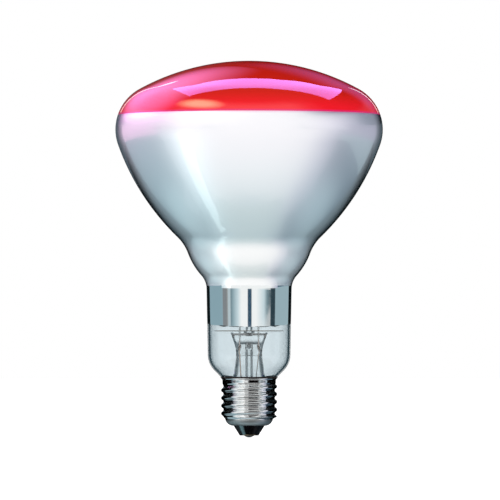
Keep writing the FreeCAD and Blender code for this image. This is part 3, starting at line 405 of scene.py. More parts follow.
@dataclass(frozen=True)
class RubyFinish:
    """Red stained glass of the front, with a clear outer gloss and painted shade that darkens the red
    towards the crown.
    """

    name: str = "ruby_front"
    edge_colour: Colour = (0.86, 0.012, 0.022)
    shaded_crown_colour: Colour = (0.60, 0.014, 0.006)
    rim_colour: Colour = (0.74, 0.03, 0.20)
    rim_height: float = 150.4
    edge_height: float = 151.8
    crown_height: float = 161.0
    coat_rough: float = 0.012
    coat_ior: float = 1.55
    grain_scale: float = 60.0
    low_rough: float = 0.34
    high_rough: float = 0.38

    def build(self, effects: SharedEffects) -> bpy.types.Material:
        """Make the material.

        Args:
            effects: the shared node groups.

        Returns:
            The material.
        """
        material, shader = start_material(self.name, {
            "Coat Weight": 1.0, "Coat Roughness": self.coat_rough, "Coat IOR": self.coat_ior,
            "Specular IOR Level": 0.0})
        tree = material.node_tree
        # Painted shade: the red darkens from its lower edge up to the crown.
        fade = place_fade(material, effects, self.edge_height, self.crown_height, below=self.edge_colour,
                          above=self.shaded_crown_colour)
        rim = place_fade(material, effects, self.rim_height, self.edge_height, below=self.rim_colour)
        place_grain(material, shader, effects, self.grain_scale, self.low_rough, self.high_rough)
        tree.links.new(fade.outputs["Color"], rim.inputs["High Color"])
        tree.links.new(rim.outputs["Color"], shader.inputs["Base Color"])
        return material


@dataclass(frozen=True)
class SatinFinish:
    """Frosted glass with the metal reflector behind it, under a clear outer gloss. Its colour holds painted
    shade low on the cone and at the rim, and a painted highlight on the bulge.
    """

    name: str = "satin_reflector"
    upper_colour: Colour = (0.96, 0.95, 0.99)
    shaded_lower_colour: Colour = (0.78, 0.87, 0.90)
    bulge_highlight_colour: Colour = (0.99, 1.0, 1.0)
    edge_colour: Colour = (0.92, 0.50, 0.74)
    # Painted shade at the rim, where the cone turns away.
    rim_colour: Colour = (0.03, 0.045, 0.05)
    bulge_height: float = 86.5
    waist_height: float = 93.5
    lower_height: float = 98.0
    upper_height: float = 146.0
    edge_low: float = 149.2
    edge_high: float = 151.0
    rim_low: float = 0.64
    rim_high: float = 0.88
    metallic: float = 0.85
    coat_rough: float = 0.005
    coat_ior: float = 2.0
    grain_scale: float = 2500.0
    low_rough: float = 0.36
    high_rough: float = 0.40

    def build(self, effects: SharedEffects) -> bpy.types.Material:
        """Make the material.

        Args:
            effects: the shared node groups.

        Returns:
            The material.
        """
        material, shader = start_material(self.name, {
            "Metallic": self.metallic, "Coat Weight": 1.0, "Coat Roughness": self.coat_rough,
            "Coat IOR": self.coat_ior})
        tree = material.node_tree
        # Painted shade: the cone fades from a lighter colour near the top to a darker, bluer one low down.
        fade = place_fade(material, effects, self.lower_height, self.upper_height, below=self.shaded_lower_colour,
                          above=self.upper_colour)
        # Painted highlight: near-white colour on the bulge below the waist.
        bulge = place_fade(material, effects, self.bulge_height, self.waist_height, below=self.bulge_highlight_colour)
        edge = place_fade(material, effects, self.edge_low, self.edge_high, above=self.edge_colour)
        # Painted shade: the colour darkens towards the rim where the cone turns away.
        rim = place_group(material, effects.turn_shade, {
            "Rim Color": opaque(self.rim_colour), "Low": self.rim_low, "High": self.rim_high})
        turn = add_node(tree, "ShaderNodeLayerWeight")
        place_grain(material, shader, effects, self.grain_scale, self.low_rough, self.high_rough)
        tree.links.new(fade.outputs["Color"], bulge.inputs["High Color"])
        tree.links.new(bulge.outputs["Color"], edge.inputs["Low Color"])
        tree.links.new(edge.outputs["Color"], rim.inputs["Color"])
        tree.links.new(turn.outputs["Facing"], rim.inputs["Facing"])
        tree.links.new(rim.outputs["Color"], shader.inputs["Base Color"])
        return material


def turned_mesh(name: str, loop: list[Point], segments: int, zone_of: Callable[[int], int],
                shift: Callable[[int, float], Point] | None = None) -> bpy.types.Object:
    """Turn a closed run of points about the lamp axis into a smooth mesh.

    Args:
        name: name of the piece.
        loop: distance from the axis and height of each point, in millimetres. A point on the axis is
            one corner.
        segments: how many steps go round the axis.
        zone_of: gives the material number of the belt that starts at a point.
        shift: gives how far a point moves out and up at an angle.

    Returns:
        The new object.
    """
    verts: list[Place] = []
    rings: list[list[int]] = []
    for number, (across, up) in enumerate(loop):
        if across < ON_AXIS:
            rings.append([len(verts)])
            verts.append((0.0, 0.0, up * MM))
            continue
        ring = []
        for step in range(segments):
            angle = 2 * math.pi * step / segments
            out, rise = shift(number, angle) if shift else (0.0, 0.0)
            reach = (across + out) * MM
            ring.append(len(verts))
            verts.append((reach * math.cos(angle), reach * math.sin(angle), (up + rise) * MM))
        rings.append(ring)
    faces: list[tuple[int, ...]] = []
    zones: list[int] = []
    for number, ring in enumerate(rings):
        following = rings[(number + 1) % len(rings)]
        if len(ring) == 1 and len(following) == 1:
            continue
        for step in range(segments):
            after = (step + 1) % segments
            if len(ring) == 1:
                faces.append((ring[0], following[step], following[after]))
            elif len(following) == 1:
                faces.append((ring[step], following[0], ring[after]))
            else:
                faces.append((ring[step], following[step], following[after], ring[after]))
            zones.append(zone_of(number))
    return smooth_object(name, verts, faces, zones)


def smooth_object(name: str, verts: list[Place], faces: list[tuple[int, ...]],
                  zones: list[int] | None = None) -> bpy.types.Object:
    """Make an object from corners and faces, shaded smooth.

    Args:
        name: name of the object.
        verts: places of its corners, in metres.
        faces: corner numbers of each face.
        zones: material number of each face.

    Returns:
        The new object.
    """
    mesh = bpy.data.meshes.new(name)
    mesh.from_pydata(verts, [], faces)
    mesh.polygons.foreach_set("use_smooth", [True] * len(faces))
    if zones:
        mesh.polygons.foreach_set("material_index", zones)
    mesh.update()
    piece = bpy.data.objects.new(name, mesh)
    bpy.context.scene.collection.objects.link(piece)
    return piece


@dataclass
class BlownEnvelope:
    """Blown glass from the round front to the throat, with its belts of finish.

    Each turn is a radius in millimetres and the heading at its end, in degrees below level.
    """

    crown_height: float = 175.9
    turns: tuple[Point, ...] = (
        (106.4, 28.84), (21.6, 90.0), (20.9, 109.54), (112.65, 135.94), (20.2, 110.27), (32.4, 132.0),
        (9.3, 91.07))
    neck_foot: Point = (19.29, 38.5)
    corner_turn: Point = (10.5, 134.73)
    throat_radius: float = 11.2
    throat_fillet: float = 2.0
    throat_top: float = 25.385
    throat_foot: float = 21.4
    wall: float = 1.2
    ruby_edge: float = 150.5
    satin_edge: float = 70.7
    mirror_edge: float = 51.7
    waver_reach: float = 6.0
    side_waver: float = 1.5
    ripples: tuple[tuple[float, int], ...] = ((0.16, 5), (0.08, 13))
    segments: int = 192
    step: float = 1.0
    fewest_steps: int = 6

    def _side(self, inset: float) -> list[Point]:
        """Walk down one side of the wall, set in by a distance.

        Args:
            inset: distance from the outer side, in millimetres.

        Returns:
            Points from the crown to the throat's end.
        """
        points: list[Point] = [(0.0, self.crown_height - inset)]
        heading = 0.0
        for radius, target in self.turns:
            self._arc(points, radius - inset if target > heading else radius + inset, heading, target)
            heading = target
        lean = math.radians(heading)
        foot = (self.neck_foot[0] - inset * math.sin(lean), self.neck_foot[1] - inset * math.cos(lean))
        self._line(points, foot)
        radius, target = self.corner_turn
        self._arc(points, radius - inset, heading, target)
        fillet = self.throat_fillet + inset
        middle = (self.throat_radius + self.throat_fillet, self.throat_top)
        lean = math.radians(target)
        self._line(points, (middle[0] - fillet * math.sin(lean), middle[1] - fillet * math.cos(lean)))
        self._arc(points, fillet, target, 90.0)
        self._line(points, (points[-1][0], self.throat_foot))
        return self._with_edges(points)

    def _arc(self, points: list[Point], radius: float, heading: float, target: float) -> None:
        """Add a round run that turns from one heading to another.

        Args:
            points: the run so far, which gets the new points.
            radius: radius of the turn, in millimetres.
            heading: heading at its start, in degrees below level.
            target: heading at its end.
        """
        side = 1 if target > heading else -1
        across, up = points[-1]
        start = math.radians(heading)
        middle = (across - side * radius * math.sin(start), up - side * radius * math.cos(start))
        sweep = math.radians(target - heading)
        count = max(int(abs(sweep) * radius / self.step), self.fewest_steps)
        for number in range(1, count + 1):
            angle = start + sweep * number / count
            points.append((
                middle[0] + side * radius * math.sin(angle), middle[1] + side * radius * math.cos(angle)))

    def _line(self, points: list[Point], end: Point) -> None:
        """Add a straight run to an end point.

        Args:
            points: the run so far, which gets the new points.
            end: end of the straight run.
        """
        start = points[-1]
        count = max(int(math.dist(start, end) / self.step), 1)
        for number in range(1, count + 1):
            share = number / count
            points.append((start[0] + (end[0] - start[0]) * share, start[1] + (end[1] - start[1]) * share))

    def _with_edges(self, points: list[Point]) -> list[Point]:
        """Add a point where each belt of finish ends.

        Args:
            points: a side of the wall from the crown down.

        Returns:
            The same side with the added points.
        """
        result = [points[0]]
        for before, after in zip(points, points[1:]):
            for edge in (self.ruby_edge, self.satin_edge, self.mirror_edge):
                if after[1] < edge < before[1]:
                    share = (before[1] - edge) / (before[1] - after[1])
                    result.append((before[0] + (after[0] - before[0]) * share, edge))
            result.append(after)
        return result

    def _zone(self, height: float) -> Zone:
        """Find the finish of the glass.

        Args:
            height: height on the lamp, in millimetres.

        Returns:
            The belt of finish there.
        """
        if height > self.ruby_edge:
            return Zone.RUBY
        if height > self.satin_edge:
            return Zone.SATIN
        return Zone.MIRROR if height > self.mirror_edge else Zone.CLEAR

    def _edge_waver(self, height: float, angle: float) -> float:
        """Work out how far the lower edge of the mirror wanders up and down.

        Args:
            height: height on the lamp, in millimetres.
            angle: direction round the axis.

        Returns:
            The shift upward, in millimetres.
        """
        near = max(0.0, 1.0 - abs(height - self.mirror_edge) / self.waver_reach)
        sides = self.side_waver * math.cos(angle) ** 4
        return near * (sides + sum(rise * math.sin(waves * angle) for rise, waves in self.ripples))

    def build(self, finishes: dict[Zone, bpy.types.Material]) -> bpy.types.Object:
        """Build and dress the envelope.

        Args:
            finishes: material of each belt.

        Returns:
            The envelope.
        """
        outer = self._side(0.0)
        inner = self._side(self.wall)
        loop = outer + inner[::-1]

        def zone_of(number: int) -> int:
            """Material number of the belt that starts at a point of the outline."""
            following = loop[(number + 1) % len(loop)]
            return self._zone((loop[number][1] + following[1]) / 2).value

        def waver(number: int, angle: float) -> Point:
            """Shift of a point of the outline at an angle."""
            return 0.0, self._edge_waver(loop[number][1], angle)

        piece = turned_mesh("glass_envelope", loop, self.segments, zone_of, waver)
        for zone in Zone:
            piece.data.materials.append(finishes[zone])
        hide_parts("glass_bulb")
        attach(piece, ROOT)
        return piece


@dataclass
class ScrewShell:
    """Thin metal shell with the rolled right-hand thread, round shoulder, collar and flared rim."""

    crest_radius: float = 13.1
    pitch: float = 3.629
    thread_round: float = 1.025
    start_height: float = 9.3
    thread_foot: float = 8.5
    thread_end: float = 25.2
    sheet: float = 0.3
    collar_radius: float = 12.5
    collar_foot: float = 25.4
    flare_height: float = 26.7
    rim_height: float = 27.4
    rim_radius: float = 13.05
    shoulder: float = 3.9
    hole_radius: float = 7.35
    foot_height: float = 5.4
    seam: float = 8.3
    foot_blend: float = 1.5
    start_blend: float = 1.3
    shoulder_steps: int = 18
    steps: int = 160
    rise: float = 0.19

    @staticmethod
    def _ease(share: float) -> float:
        """Rise smoothly from 0 to 1."""
        share = min(max(share, 0.0), 1.0)
        return share * share * (3 - 2 * share)

    def _radius(self, height: float, turn: float) -> float:
        """Work out the outer radius of the shell.

        Args:
            height: height on the cap, in millimetres.
            turn: share of the full turn round the axis.

        Returns:
            The radius, in millimetres.
        """
        arc = self.thread_round
        half_depth = arc - math.sqrt(arc * arc - (self.pitch / 4) ** 2)
        root = self.crest_radius - 2 * half_depth
        drop = self.foot_height + self.shoulder - self.seam
        seam_radius = self.hole_radius + math.sqrt(self.shoulder ** 2 - drop ** 2)
        base = seam_radius + (root - seam_radius) * self._ease(
            (height - self.seam) / (arc * self.foot_blend))
        base += (self.collar_radius - root) * self._ease((height - self.collar_foot + arc) / arc)
        flared = max(height - self.flare_height, 0.0) / (self.rim_height - self.flare_height)
        base += (self.rim_radius - self.collar_radius) * flared * flared
        along = (height - self.start_height) / self.pitch - turn
        away = abs(along - round(along)) * self.pitch
        if away < self.pitch / 4:
            wave = 2 * half_depth - arc + math.sqrt(arc * arc - away * away)
        else:
            wave = arc - math.sqrt(arc * arc - (self.pitch / 2 - away) ** 2)
        run_in = self._ease((height - self.thread_foot) / (arc * self.start_blend))
        run_out = self._ease((self.thread_end - height) / arc)
        return base + wave * run_in * run_out

    def _side(self, turn: float) -> list[Point]:
        """Walk up the outer side from the hole at the foot to the rim.

        Args:
            turn: share of the full turn round the axis.

        Returns:
            Distance from the axis and height of each point.
        """
        middle = (self.hole_radius, self.foot_height + self.shoulder)
        last = math.asin((middle[1] - self.seam) / self.shoulder)
        sweep = math.pi / 2 - last
        points = []
        for number in range(self.shoulder_steps):
            angle = -math.pi / 2 + sweep * number / self.shoulder_steps
            points.append((
                middle[0] + self.shoulder * math.cos(angle), middle[1] + self.shoulder * math.sin(angle)))
        count = int((self.rim_height - self.seam) / self.rise)
        for number in range(count + 1):
            level = self.seam + (self.rim_height - self.seam) * number / count
            points.append((self._radius(level, turn), level))
        return points

    def _loop(self, turn: float) -> list[Point]:
        """Outline the sheet: outer side up, inner side down.

        Args:
            turn: share of the full turn round the axis.

        Returns:
            The closed outline.
        """
        outer = self._side(turn)
        last = len(outer) - 1
        inner = []
        for number, (across, up) in enumerate(outer):
            before = outer[max(number - 1, 0)]
            after = outer[min(number + 1, last)]
            run = (after[0] - before[0], after[1] - before[1])
            length = math.hypot(*run)
            inner.append((across - self.sheet * run[1] / length, up + self.sheet * run[0] / length))
        return outer + inner[::-1]

    def build(self, finishes: dict[ShellZone, bpy.types.Material]) -> bpy.types.Object:
        """Build and dress the shell.

        Args:
            finishes: material of each belt.

        Returns:
            The shell.
        """
        verts: list[Place] = []
        for step in range(self.steps):
            angle = 2 * math.pi * step / self.steps
            for across, up in self._loop(step / self.steps):
                verts.append((across * MM * math.cos(angle), across * MM * math.sin(angle), up * MM))
        count = len(verts) // self.steps
        faces: list[tuple[int, ...]] = []
        zones: list[int] = []
        for step in range(self.steps):
            here = step * count
            there = (step + 1) % self.steps * count
            for number in range(count):
                after = (number + 1) % count
                faces.append((here + number, there + number, there + after, here + after))
                low = verts[here + number][2] < self.seam * MM
                zones.append((ShellZone.SHOULDER if low else ShellZone.ROLLED).value)
        piece = smooth_object("screw_shell", verts, faces, zones)
        for zone in ShellZone:
            piece.data.materials.append(finishes[zone])
        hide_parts("cap_shell")
        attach(piece, ROOT)
        return piece


@dataclass
class CoiledFilament:
    """Fine coil of wire bent into a ring that is open at the front."""

    ring_radius: float = 14.0
    height: float = 100.0
    coil_radius: float = 0.53
    wire_radius: float = 0.11
    gap: float = 60.0
    gap_middle: float = -90.0
    coil_pitch: float = 0.42
    steps: int = 9

    def build(self, finish: bpy.types.Material) -> bpy.types.Object:
        """Build and dress the coil.

        Args:
            finish: material of the wire.

        Returns:
            The coil.
        """
        sweep = math.radians(360.0 - self.gap)
        start = math.radians(self.gap / 2 + self.gap_middle)
        turns = int(self.ring_radius * sweep / self.coil_pitch)
        count = turns * self.steps
        curve = bpy.data.curves.new("filament_coil", "CURVE")
        curve.dimensions = "3D"
        curve.bevel_depth = self.wire_radius * MM
        curve.bevel_resolution = 1
        curve.use_fill_caps = True
        spline = curve.splines.new("POLY")
        spline.points.add(count)
        for number in range(count + 1):
            along = start + sweep * number / count
            wind = 2 * math.pi * number / self.steps
            across = self.ring_radius + self.coil_radius * math.cos(wind)
            spline.points[number].co = (across * MM * math.cos(along), across * MM * math.sin(along),
                                        (self.height + self.coil_radius * math.sin(wind)) * MM, 1.0)
        curve.materials.append(finish)
        piece = bpy.data.objects.new("filament_coil", curve)
        bpy.context.scene.collection.objects.link(piece)
        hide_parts("filament")
        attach(piece, ROOT)
        return piece


@dataclass
class CarriedNodes:
    """Pieces that keep their CAD shape and only get a better finish."""

    finishes: dict[str, bpy.types.Material]

    def dress(self) -> list[str]:
        """Give each node its finish.

        Returns:
            Names of the dressed nodes.
        """
        dressed = []
        for name, node in sorted(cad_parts.items()):
            finish = next((made for start, made in self.finishes.items() if name.startswith(start)), None)
            if finish is None:
                continue
            if not node.material_slots:
                node.data.materials.append(finish)
            for slot in node.material_slots:
                slot.material = finish
            dressed.append(name)
        return dressed


@dataclass(frozen=True)
class Softbox:
    """Flat studio lamp that lights matt surfaces only."""

    name: str
    centre: Place
    width: float
    height: float
    glow: float
    colour: Colour
    target: Place = (0.0, 0.0, 0.1)

    def build(self) -> None:
        """Place the lamp, facing its target. Only matt surfaces get its light."""
        lamp = bpy.data.lights.new(self.name, "AREA")
        lamp.shape = "RECTANGLE"
        lamp.size = self.width
        lamp.size_y = self.height
        lamp.energy = self.glow * math.pi * self.width * self.height
        lamp.color = self.colour
        holder = bpy.data.objects.new(self.name, lamp)
        holder.location = self.centre
        aim = Vector(self.target) - Vector(self.centre)
        holder.rotation_mode = "QUATERNION"
        holder.rotation_quaternion = aim.to_track_quat("-Z", "Y")
        holder.visible_camera = False
        holder.visible_transmission = False
        holder.visible_glossy = False
        bpy.context.scene.collection.objects.link(holder)


class Blend(Enum):
    """How a card meets what stands behind it."""

    ADDED = 0
    SOFT = 1
    SOLID = 2


@dataclass(frozen=True)
class Card:
    """Flat card that glows in the reflections of chosen pieces only. A solid one is dark in the others."""

    name: str
    corners: tuple[Place, ...]
    glow: float = 1.0
    colour: Colour = (1.0, 1.0, 1.0)
    blend: Blend = Blend.ADDED
    cover: float = 1.0
    soft_edge: Point = (0.56, 0.12)
    middle: Place = (0.5, 0.5, 0.5)

    def _surface(self) -> bpy.types.Material:
        """Make the glowing surface.

        Returns:
            The material.
        """
        material = bpy.data.materials.new(self.name + "_surface")
        material.use_nodes = True
        tree = material.node_tree
        tree.nodes.clear()
        strength: float | bpy.types.NodeSocket = self.glow
        if self.blend is Blend.SOFT:
            place = add_node(tree, "ShaderNodeTexCoord").outputs["Generated"]
            away = add_node(tree, "ShaderNodeVectorMath", {0: place, 1: self.middle}, operation="DISTANCE")
            strength = ramp_between(tree, away.outputs["Value"], *self.soft_edge, 0.0, self.glow)
        light = add_node(tree, "ShaderNodeEmission", {"Color": opaque(self.colour), "Strength": strength})
        clear = add_node(tree, "ShaderNodeBsdfTransparent").outputs[0]
        if self.blend is Blend.SOLID:
            both = add_node(tree, "ShaderNodeMixShader", {0: self.cover, 1: clear, 2: light.outputs[0]})
        else:
            both = add_node(tree, "ShaderNodeAddShader", {0: light.outputs[0], 1: clear})
        add_node(tree, "ShaderNodeOutputMaterial", {"Surface": both.outputs[0]})
        return material

    def build(self, receivers: bpy.types.Collection) -> None:
        """Place the card.

        Args:
            receivers: the pieces that reflect it.
        """
        mesh = bpy.data.meshes.new(self.name)
        mesh.from_pydata(self.corners, [], [tuple(range(len(self.corners)))])
        mesh.materials.append(self._surface())
        card = bpy.data.objects.new(self.name, mesh)
        card.visible_camera = False
        card.visible_diffuse = False
        card.visible_transmission = False
        card.visible_shadow = False
        card.light_linking.receiver_collection = receivers
        bpy.context.scene.collection.objects.link(card)


class Square(Enum):
    """Direction that stands square on a flat card."""

    ACROSS = 0
    DEPTH = 1
    UP = 2


def flat_corners(square: Square, distance: float, outline: tuple[Point, ...]) -> tuple[Place, ...]:
    """Corners of a card that is square to one direction.

    Args:
        square: the direction.
        distance: place of the card along it, in metres.
        outline: the other two measures of each corner, in the order across, depth, up.

    Returns:
        The corners.
    """
    corners = []
    for pair in outline:
        corner = list(pair)
        corner.insert(square.value, distance)
        corners.append(tuple(corner))
    return tuple(corners)


def upright_corners(first: float, last: float, reach: float, low: float, high: float) -> tuple[Place, ...]:
    """Corners of an upright card between two bearings from the axis.

    Args:
        first: bearing of one side, in degrees from the front, positive to the right.
        last: bearing of the other side.
        reach: distance of both sides from the axis.
        low: height of the lower side.
        high: height of the upper side.

    Returns:
        The four corners, in metres.
    """
    sides = [(reach * math.sin(math.radians(bearing)), -reach * math.cos(math.radians(bearing)))
             for bearing in (first, last)]
    return (*sides[0], low), (*sides[1], low), (*sides[1], high), (*sides[0], high)


def facing_corners(centre: Place, target: Place, width: float, height: float) -> tuple[Place, ...]:
    """Corners of a level card that faces a target.

    Args:
        centre: middle of the card.
        target: point that it faces.
        width: size of its level side.
        height: size of its other side.

    Returns:
        Its four corners.
    """
    turn = (Vector(target) - Vector(centre)).to_track_quat("-Z", "Y")
    signs = ((-0.5, -0.5), (0.5, -0.5), (0.5, 0.5), (-0.5, 0.5))
    return tuple(
        tuple(Vector(centre) + turn @ Vector((width * across, height * up, 0.0))) for across, up in signs)


class Panel(Enum):
    """Tone of one part of the studio, as reflections show it."""

    WHITE = (1.0, 1.0, 1.0)
    LILAC = (0.92, 0.90, 0.98)
    PEARL = (0.9, 0.9, 0.94)
    SOFT = (0.62, 0.74, 0.79)
    DUSK = (0.55, 0.56, 0.68)
    PALE = (0.34, 0.46, 0.51)
    BLUE = (0.085, 0.145, 0.205)
    MIST = (0.27, 0.40, 0.46)
    ROSE = (0.84, 0.60, 0.82)
    HAZE = (0.36, 0.37, 0.48)
    MAUVE = (0.50, 0.40, 0.52)
    GREY = (0.20, 0.29, 0.33)
    SLATE = (0.11, 0.15, 0.18)
    GAP = (0.03, 0.055, 0.07)
    DEEP = (0.06, 0.17, 0.22)
    EDGE = (0.04, 0.07, 0.085)
    NAVY = (0.035, 0.085, 0.14)
    NIGHT = (0.004, 0.008, 0.009)
    TABLE = (0.56, 0.66, 0.70)
    CEILING = (0.10, 0.09, 0.09)
    FILL = (0.85, 0.85, 0.85)


Stops = tuple[tuple[float, Panel], ...]


@dataclass
class Surround:
    """White to the camera and through glass, and a studio by direction in reflections.

    Each band of tones lists bearings in degrees, 0 in front and positive to the right. The other pairs
    are the steepness of a ray, from -1 straight down to 1 straight up, where one band gives way to the
    next, and for glass how far the ray goes straight back.
    """

    level_tones: Stops = (
        (-180, Panel.NIGHT), (-134, Panel.NIGHT), (-130, Panel.DEEP), (-78, Panel.DEEP), (-76, Panel.NIGHT),
        (-62, Panel.NIGHT), (-59, Panel.GREY), (-50, Panel.GREY), (-43, Panel.PALE), (-31, Panel.SOFT),
        (-21, Panel.WHITE), (-4.4, Panel.WHITE), (-3.4, Panel.NAVY), (6.4, Panel.NAVY), (7.4, Panel.WHITE),
        (19, Panel.WHITE), (41, Panel.SOFT), (50, Panel.GREY), (64, Panel.GAP), (75, Panel.GAP),
        (77, Panel.PALE), (130, Panel.PALE), (134, Panel.NIGHT), (180, Panel.NIGHT))
    low_tones: Stops = (
        (-180, Panel.NIGHT), (-155, Panel.NIGHT), (-143, Panel.GREY), (-128, Panel.PALE), (-98, Panel.GREY),
        (-82, Panel.PALE), (-58, Panel.WHITE), (58, Panel.WHITE), (80, Panel.DUSK), (97, Panel.BLUE),
        (125, Panel.BLUE), (140, Panel.GREY), (152, Panel.NIGHT), (180, Panel.NIGHT))
    high_tones: Stops = (
        (-180, Panel.NIGHT), (-164, Panel.SLATE), (-146, Panel.BLUE), (-130, Panel.MAUVE),
        (-84, Panel.MAUVE), (-50, Panel.WHITE), (45, Panel.WHITE), (72, Panel.LILAC), (95, Panel.DUSK),
        (120, Panel.BLUE), (145, Panel.SLATE), (160, Panel.NIGHT), (180, Panel.NIGHT))
    top_tones: Stops = (
        (-180, Panel.NIGHT), (-84, Panel.NIGHT), (-72, Panel.SOFT), (-50, Panel.WHITE), (46, Panel.WHITE),
        (66, Panel.GREY), (84, Panel.NIGHT), (180, Panel.NIGHT))
    below: Point = (-0.05, -0.095)
    under: Point = (-0.86, -0.97)
    raised: Point = (-0.008, 0.045)
    overhead: Point = (0.34, 0.46)
    zenith: Point = (0.72, 0.92)
    ahead: Point = (0.93, 0.992)
    aside: Point = (0.4, 0.15)

    @staticmethod
    def _tones(tree: bpy.types.NodeTree, share: bpy.types.NodeSocket, stops: Stops) -> bpy.types.NodeSocket:
        """Colour of one band by direction round the lamp.

        Args:
            tree: node tree of the surround.
            share: direction as a share of the full turn.
            stops: bearing in degrees, and the tone there.

        Returns:
            The colour.
        """
        ramp = add_node(tree, "ShaderNodeValToRGB", {0: share})
        for angle, _ in stops[1:-1]:
            ramp.color_ramp.elements.new(angle / 360.0 + 0.5)
        for element, (angle, tone) in zip(ramp.color_ramp.elements, stops):
            element.position = angle / 360.0 + 0.5
            element.color = opaque(tone.value)
        return ramp.outputs[0]

    def build(self) -> None:
        """Make the world and its shader."""
        world = bpy.data.worlds.new("studio_surround")
        bpy.context.scene.world = world
        world.use_nodes = True
        tree = world.node_tree
        tree.nodes.clear()
        direction = add_node(tree, "ShaderNodeTexCoord").outputs["Generated"]
        split = add_node(tree, "ShaderNodeSeparateXYZ", {0: direction})
        height = split.outputs["Z"]
        toward = math_node(tree, "MULTIPLY", split.outputs["Y"], -1.0)
        azimuth = math_node(tree, "ARCTAN2", split.outputs["X"], toward)
        share = math_node(tree, "MULTIPLY_ADD", azimuth, 0.5 / math.pi, 0.5)
        gloss = self._tones(tree, share, self.level_tones)
        layers = (
            (self.below, self._tones(tree, share, self.low_tones)), (self.under, opaque(Panel.TABLE.value)),
            (self.raised, self._tones(tree, share, self.high_tones)),
            (self.overhead, self._tones(tree, share, self.top_tones)),
            (self.zenith, opaque(Panel.CEILING.value)))
        for (start, end), tone in layers:
            gloss = mix_colours(tree, ramp_between(tree, height, start, end), gloss, tone)
        straight = math_node(
            tree, "MAXIMUM", ramp_between(tree, split.outputs["Y"], *self.ahead),
            ramp_between(tree, split.outputs["Y"], *self.aside))
        through = mix_colours(tree, straight, opaque(Panel.EDGE.value), WHITE)
        path = add_node(tree, "ShaderNodeLightPath")
        seen = mix_colours(tree, path.outputs["Is Glossy Ray"], opaque(Panel.FILL.value), gloss)
        seen = mix_colours(tree, path.outputs["Is Transmission Ray"], seen, through)
        colour = mix_colours(tree, path.outputs["Is Camera Ray"], seen, WHITE)
        light = add_node(tree, "ShaderNodeBackground", {"Color": colour, "Strength": 1.0})
        add_node(tree, "ShaderNodeOutputWorld", {"Surface": light.outputs[0]})


